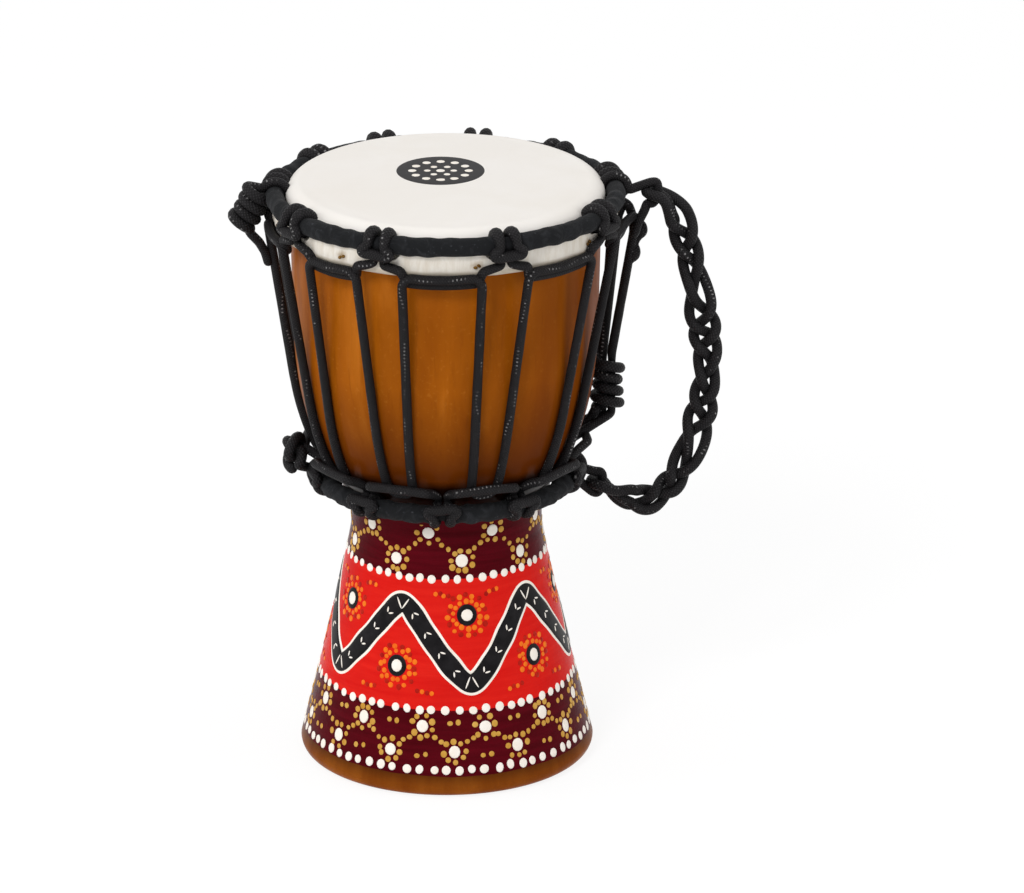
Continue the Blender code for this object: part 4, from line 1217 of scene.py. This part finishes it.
def look_from(target, distance, elevation):
    """A long lens in front of the drum, looking down at it."""
    e = math.radians(elevation)
    target = Vector(target)
    camera = bpy.data.cameras.new("studio_camera")
    camera.lens = 302.7
    camera.sensor_width = 36.0
    camera.clip_end = 50.0
    made = bpy.data.objects.new("studio_camera", camera)
    made.location = target + Vector((0.0, -math.cos(e), math.sin(e))) * distance
    made.rotation_euler = (target - made.location).to_track_quat("-Z", "Y").to_euler()
    bpy.context.scene.collection.objects.link(made)
    bpy.context.scene.camera = made


look_from((0.0229, 0.0, 0.1116), 3.0, 20.5)

middle_line = strap_line()
strap = rope("carrying_strap", strap_strands(middle_line), BRAID, soft=0.0006)
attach(strap, "strap")
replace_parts(strap, "strap_plait")
path = [in_strap_plane(r, z) for r, z in middle_line]


# Cords tied round the drum

def tied(name, points, node, closed=False, soft=0.0008):
    made = rope(name, points, BRAID, closed=closed, soft=soft)
    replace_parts(made, node)
    return made


tied("crown_cord", crown_loops(), "crown_loops", closed=True, soft=0.0007)
tied("waist_cord", waist_loops(), "waist_loops", closed=True, soft=0.0007)
tied("lacing_cord", lacing(), "lacing_rope", closed=True, soft=0.0009)
LEG = ((0.0690, 0.1966, -0.0012, CORD_R), (0.0668, 0.1926, -0.0018, CORD_R),
       (0.0656, 0.1886, -0.0014, CORD_R), (0.0654, 0.1872, 0.0002, CORD_R),
       (0.0656, 0.1888, 0.0018, CORD_R), (0.0654, 0.1930, 0.0018, CORD_R),
       (0.0636, 0.1980, 0.0008, CORD_R))
tied("upper_bail", bail(crown_ring(STRAP_AZ), APRON_LINE, STRAP_TOP, LEG), "strap_bail_top",
     closed=True)
tied("lower_bail", bail((WAIST_RING, WAIST_TUBE), SHELL_LINE, STRAP_FOOT), "strap_bail_foot",
     closed=True)
crown_tail = hooked(FIST_AZ, crown_ring(FIST_AZ), APRON_LINE) + fist()
tied("crown_knot", crown_tail, "crown_tail_knot", soft=0.0005)
waist_tail = hooked(WAIST_KNOT_AZ, (WAIST_RING, WAIST_TUBE), SHELL_LINE)
waist_tail += overhand(WAIST_KNOT_AZ, (0.0529, 0.1112), 0.0039, 0.0020, -0.9, 1.16)
tied("waist_knot", waist_tail, "waist_tail_knot", soft=0.0005)
tied("end_knots", stoppers(), "lacing_end_knots", soft=0.0006)
tied("spare_hank", hank(), "tail_hank", soft=0.0005)


# Shell, skin and rings

def wooden_shell():
    """The turned shell, with the inside of its wall marked for its raw wood."""
    outside, inside = shell_outside(), shell_inside()
    profile = np.vstack([outside, inside])
    grid = turned(profile, 288)
    marks = np.repeat((np.arange(len(profile)) >= len(outside)).astype(float), 288)
    made = surface("wooden_shell", grid, PAINTED_WOOD, wrap_rows=True,
                   marks=marks, sharp=40)
    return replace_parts(made, "shell")


STITCH_AZ = (-36.0, 10.7, 55.4, 92.0, 126.0, 158.0, 188.0, 221.0, 249.0, 285.0)
STITCH_Z = 0.1984
STRIP_RISE = 0.0030      # how far the trimmed strip reaches up between the hitches


def playing_skin():
    """The skin: flat over the bowl, rounded at the bearing edge, folded up round its hoop.

    Its trimmed strip bulges in and out by a sum of waves, and its cut edge wanders up and down.
    """
    steps = 360
    azimuth = np.linspace(0.0, 360.0, steps, endpoint=False)[None]
    inner = np.stack([np.linspace(0.004, BOWL_R - EDGE_R - 0.0004, 26), np.full(26, HEAD_Z)], 1)
    outer = skin_outside()
    fold = HOOP_WIRE_R + SKIN_GAP
    corner = (BOWL_R - EDGE_R, SHELL_TOP - EDGE_R)
    back = np.vstack([[(HOOP[0] + fold, HOOP[1] + SKIN_TAIL * s) for s in (1.0, 0.5)],
                      arc(HOOP, fold, 360, 180, 10),
                      arc(corner, EDGE_R + SKIN_GAP, 0, 90, 8)])
    profile = np.vstack([inner, outer, back])
    radius, height = profile[:, :1], profile[:, 1:2]
    radius = radius + 0.0 * azimuth
    height = height + 0.0 * azimuth
    low = np.clip((HEAD_Z - 0.0085 - height) / 0.003, 0.0, 1.0)
    outward = np.clip((radius - HOOP[0]) / (APRON_R - HOOP[0]), 0.0, 1.0)
    ripple = waves(azimuth, height, 7, 9, 46)
    radius = radius + 0.00022 * low * outward * ripple
    cut = np.clip((height - HOOP[1]) / SKIN_TAIL, 0.0, 1.0) * outward
    near = np.min([np.abs((azimuth - at + 180.0) % 360.0 - 180.0) for at in CROWN_HITCHES], 0)
    rise = STRIP_RISE * np.clip((np.radians(near) * APRON_R - 0.0052) / 0.0030, 0.0, 1.0)
    rise = rise * (0.72 + 0.28 * np.cos(np.radians(azimuth)))
    height = height + cut * (rise + 0.00035 * waves(azimuth, 0.0, 6, 17, 90))
    rim = np.exp(-((profile[:, :1] - 0.0478) / 0.0016) ** 2) * (height > HEAD_Z - 0.0008)
    height = height - 0.00012 * rim * (1.0 + 0.6 * waves(azimuth, 0.0, 5, 5, 24))
    marks = np.zeros_like(radius)
    for at in STITCH_AZ:
        round_off = np.radians((azimuth - at + 180.0) % 360.0 - 180.0) * APRON_R
        off = np.hypot(round_off / 1.6, height - STITCH_Z)
        marks += np.exp(-(off / 0.0013) ** 2) * outward
    grid = polar(azimuth, radius, height)
    made = surface("playing_skin", grid, HIDE, marks=marks, sharp=60,
                   poles=((0.0, 0.0, HEAD_Z), (0.0, 0.0, HEAD_Z - SKIN_T)))
    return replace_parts(made, "drum_skin")


def ring_cloth(name, ring_at, node, hitches):
    """Cloth wrapped round a ring: a tube whose radius swells and folds by sums of waves.

    At each hitch it is drawn in by exp(-distance^2), where the cord pulls on it.
    """
    steps, sides = 480, 28
    azimuth = np.linspace(0.0, 360.0, steps, endpoint=False)[:, None]
    (r0, z0), tube = ring_at(azimuth)
    a = np.linspace(0.0, 360.0, sides, endpoint=False)[None]
    swell = waves(azimuth, 0.0, 8, 9, 52)
    near = np.min([np.abs((azimuth - at + 180.0) % 360.0 - 180.0) for at in hitches], 0)
    tight = np.exp(-(np.radians(near) * r0 / 0.0044) ** 4)
    total = 0.0 * azimuth + 0.0 * a
    for _ in range(7):
        turns, wind = chance.integers(14, 70), chance.integers(-3, 4)
        total = total + np.sin(np.radians(turns * azimuth + wind * a)
                               + chance.uniform(0, 2 * math.pi))
    radius = tube * (1.05 + 0.060 * swell + 0.045 * total / math.sqrt(7) - 0.22 * tight)
    spin = np.radians(a)
    grid = polar(azimuth, r0 + radius * np.cos(spin), z0 + radius * np.sin(spin))
    along = np.arange(steps) * (2 * math.pi * WAIST_RING[0] / steps)
    made = surface(name, grid, CLOTH, wrap_rows=True, uv=along)
    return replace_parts(made, node)


def crown_core():
    """The crown ring's wire, inside its cloth."""
    azimuth = np.linspace(0.0, 360.0, 240, endpoint=False)[:, None]
    (r0, z0), _ = crown_ring(azimuth)
    spin = np.radians(np.linspace(0.0, 360.0, 16, endpoint=False)[None])
    grid = polar(azimuth, r0 + 0.0015 * np.cos(spin), z0 + 0.0015 * np.sin(spin))
    made = surface("crown_ring_wire", grid, STEEL, wrap_rows=True)
    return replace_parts(made, "crown_ring_core")


wooden_shell()
playing_skin()
crown_core()
ring_cloth("crown_ring_cloth", crown_ring, "crown_ring_sleeve", CROWN_HITCHES)
ring_cloth("waist_ring_cloth", waist_ring, "waist_ring_sleeve",
           [0.5 * (a + b) for a, b in zip(LACING_FEET, following(LACING_FEET))])
for node in ("flesh_hoop", "waist_ring_core"):
    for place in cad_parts[node].material_slots:
        place.material = STEEL

stitches = []
for at in STITCH_AZ:
    for side in (-1, 1):
        stitches.append((at + side * 0.62 + jitter(0.2), STITCH_Z + side * 0.0003,
                         0.00075, 0.00055, jitter(60), 0.00045))
spots("stitch_marks", stitches, on_apron, SINEW, "goat_skin")

# Paint on the foot and print on the head

whites, golds, oranges, rusts, blacks = foot_paint()
spots("white_dots", whites, on_foot, WHITE, "turned_wood", sides=12)
spots("gold_dots", golds, on_foot, GOLD, "turned_wood")
spots("orange_dots", oranges, on_foot, ORANGE, "turned_wood")
spots("rust_dots", rusts, on_foot, RUST, "turned_wood")
spots("black_discs", blacks, on_foot, BLACK, "turned_wood", sides=24)
band("zigzag_edging", 0.0041, RELIEF * 0.8, WHITE)
band("zigzag_band", 0.0032, RELIEF * 1.5, BLACK)
spots("zigzag_strokes", zigzag_marks(), on_foot, WHITE, "turned_wood")

PRINT_CENTRE = (-0.0018, 0.0097)
PRINT_R = 0.0153


def printed_disc():
    """A thin black disc on the skin, domed by its own thickness of ink."""
    shares = np.array((1.0, 0.995, 0.98, 0.75, 0.5, 0.25))[:, None]
    lift = np.array((-0.00003, 0.00003, 0.00006, 0.00006, 0.00006, 0.00006))[:, None]
    a = np.linspace(0.0, 2 * math.pi, 96, endpoint=False)[None]
    x = PRINT_CENTRE[0] + PRINT_R * shares * np.cos(a)
    y = PRINT_CENTRE[1] + PRINT_R * shares * np.sin(a)
    grid = np.stack(np.broadcast_arrays(x, y, HEAD_Z + lift), -1)
    under = (*PRINT_CENTRE, HEAD_Z - 0.00003)
    return surface("head_print", grid, INK,
                   poles=(under, (*PRINT_CENTRE, HEAD_Z + 0.00006)), sharp=30)


def print_rosette():
    """Rings of white dots on the printed disc: one, six and twelve of them."""
    table = []
    for count, reach, size in ((1, 0.0, 0.0016), (6, 0.0046, 0.0012), (12, 0.0098, 0.0015)):
        for k in range(count):
            a = 2 * math.pi * k / count
            x = PRINT_CENTRE[0] + reach * math.cos(a)
            y = PRINT_CENTRE[1] + reach * math.sin(a)
            table.append((math.degrees(math.atan2(x, -y)), math.hypot(x, y), size, size, 0,
                          0.00013))
    return table


printed_disc()
spots("head_print_dots", print_rosette(), on_head, WHITE, "goat_skin", sides=16)


# Studio

def softbox(name, place, aim, size, power):
    light = bpy.data.lights.new(name, "AREA")
    light.shape = "RECTANGLE"
    light.size, light.size_y = size
    light.energy = power
    made = bpy.data.objects.new(name, light)
    made.location = place
    made.rotation_euler = (Vector(aim) - Vector(place)).to_track_quat("-Z", "Y").to_euler()
    bpy.context.scene.collection.objects.link(made)


def studio():
    """A pale floor that keeps the drum's shadow, a white backdrop and three soft boxes."""
    size = 12.0
    mesh = bpy.data.meshes.new("studio_floor")
    mesh.from_pydata([(-size, -size, 0.0), (size, -size, 0.0), (size, size, 0.0),
                      (-size, size, 0.0)], [], [(0, 1, 2, 3)])
    floor = bpy.data.objects.new("studio_floor", mesh)
    bpy.context.scene.collection.objects.link(floor)
    paper = bpy.data.materials.new("studio_paper")
    paper.use_nodes = True
    w = Wire(paper.node_tree)
    paper.node_tree.nodes.remove(paper.node_tree.nodes["Principled BSDF"])
    seen = w.add("LightPath", None, None, "Is Camera Ray")
    shiny = w.add("LightPath", None, None, "Is Glossy Ray")
    matt = w.add("BsdfDiffuse", None, {"Color": (0.86, 0.86, 0.86, 1.0)})
    glow = w.add("Emission", None, {"Color": (1.0, 1.0, 1.0, 1.0), "Strength": 1.08})
    share = w.maths("MAXIMUM", seen, shiny) * 0.80
    mixed = w.add("MixShader", None, {0: share, 1: matt, 2: glow})
    paper.node_tree.links.new(mixed.socket,
                              paper.node_tree.nodes["Material Output"].inputs["Surface"])
    mesh.materials.append(paper)
    world = bpy.data.worlds.new("studio")
    bpy.context.scene.world = world
    world.use_nodes = True
    w = Wire(world.node_tree)
    path = [w.add("LightPath", None, None, ray)
            for ray in ("Is Camera Ray", "Is Glossy Ray", "Is Transmission Ray")]
    shown = w.maths("MAXIMUM", w.maths("MAXIMUM", path[0], path[1]), path[2])
    back = world.node_tree.nodes["Background"]
    back.inputs["Color"].default_value = (1.0, 1.0, 1.0, 1.0)
    level = shown * 0.40 + 0.60
    world.node_tree.links.new(level.socket, back.inputs["Strength"])
    softbox("key_light", (-0.9, -1.9, 1.9), (0.0, 0.0, 0.11), (0.7, 0.7), 28.0)
    softbox("right_light", (2.2, -0.6, 1.0), (0.0, 0.0, 0.11), (0.9, 1.2), 7.0)
    softbox("left_light", (-2.2, -0.2, 0.9), (0.0, 0.0, 0.11), (0.9, 1.2), 8.0)


studio()
bpy.context.scene.view_settings.view_transform = "Standard"
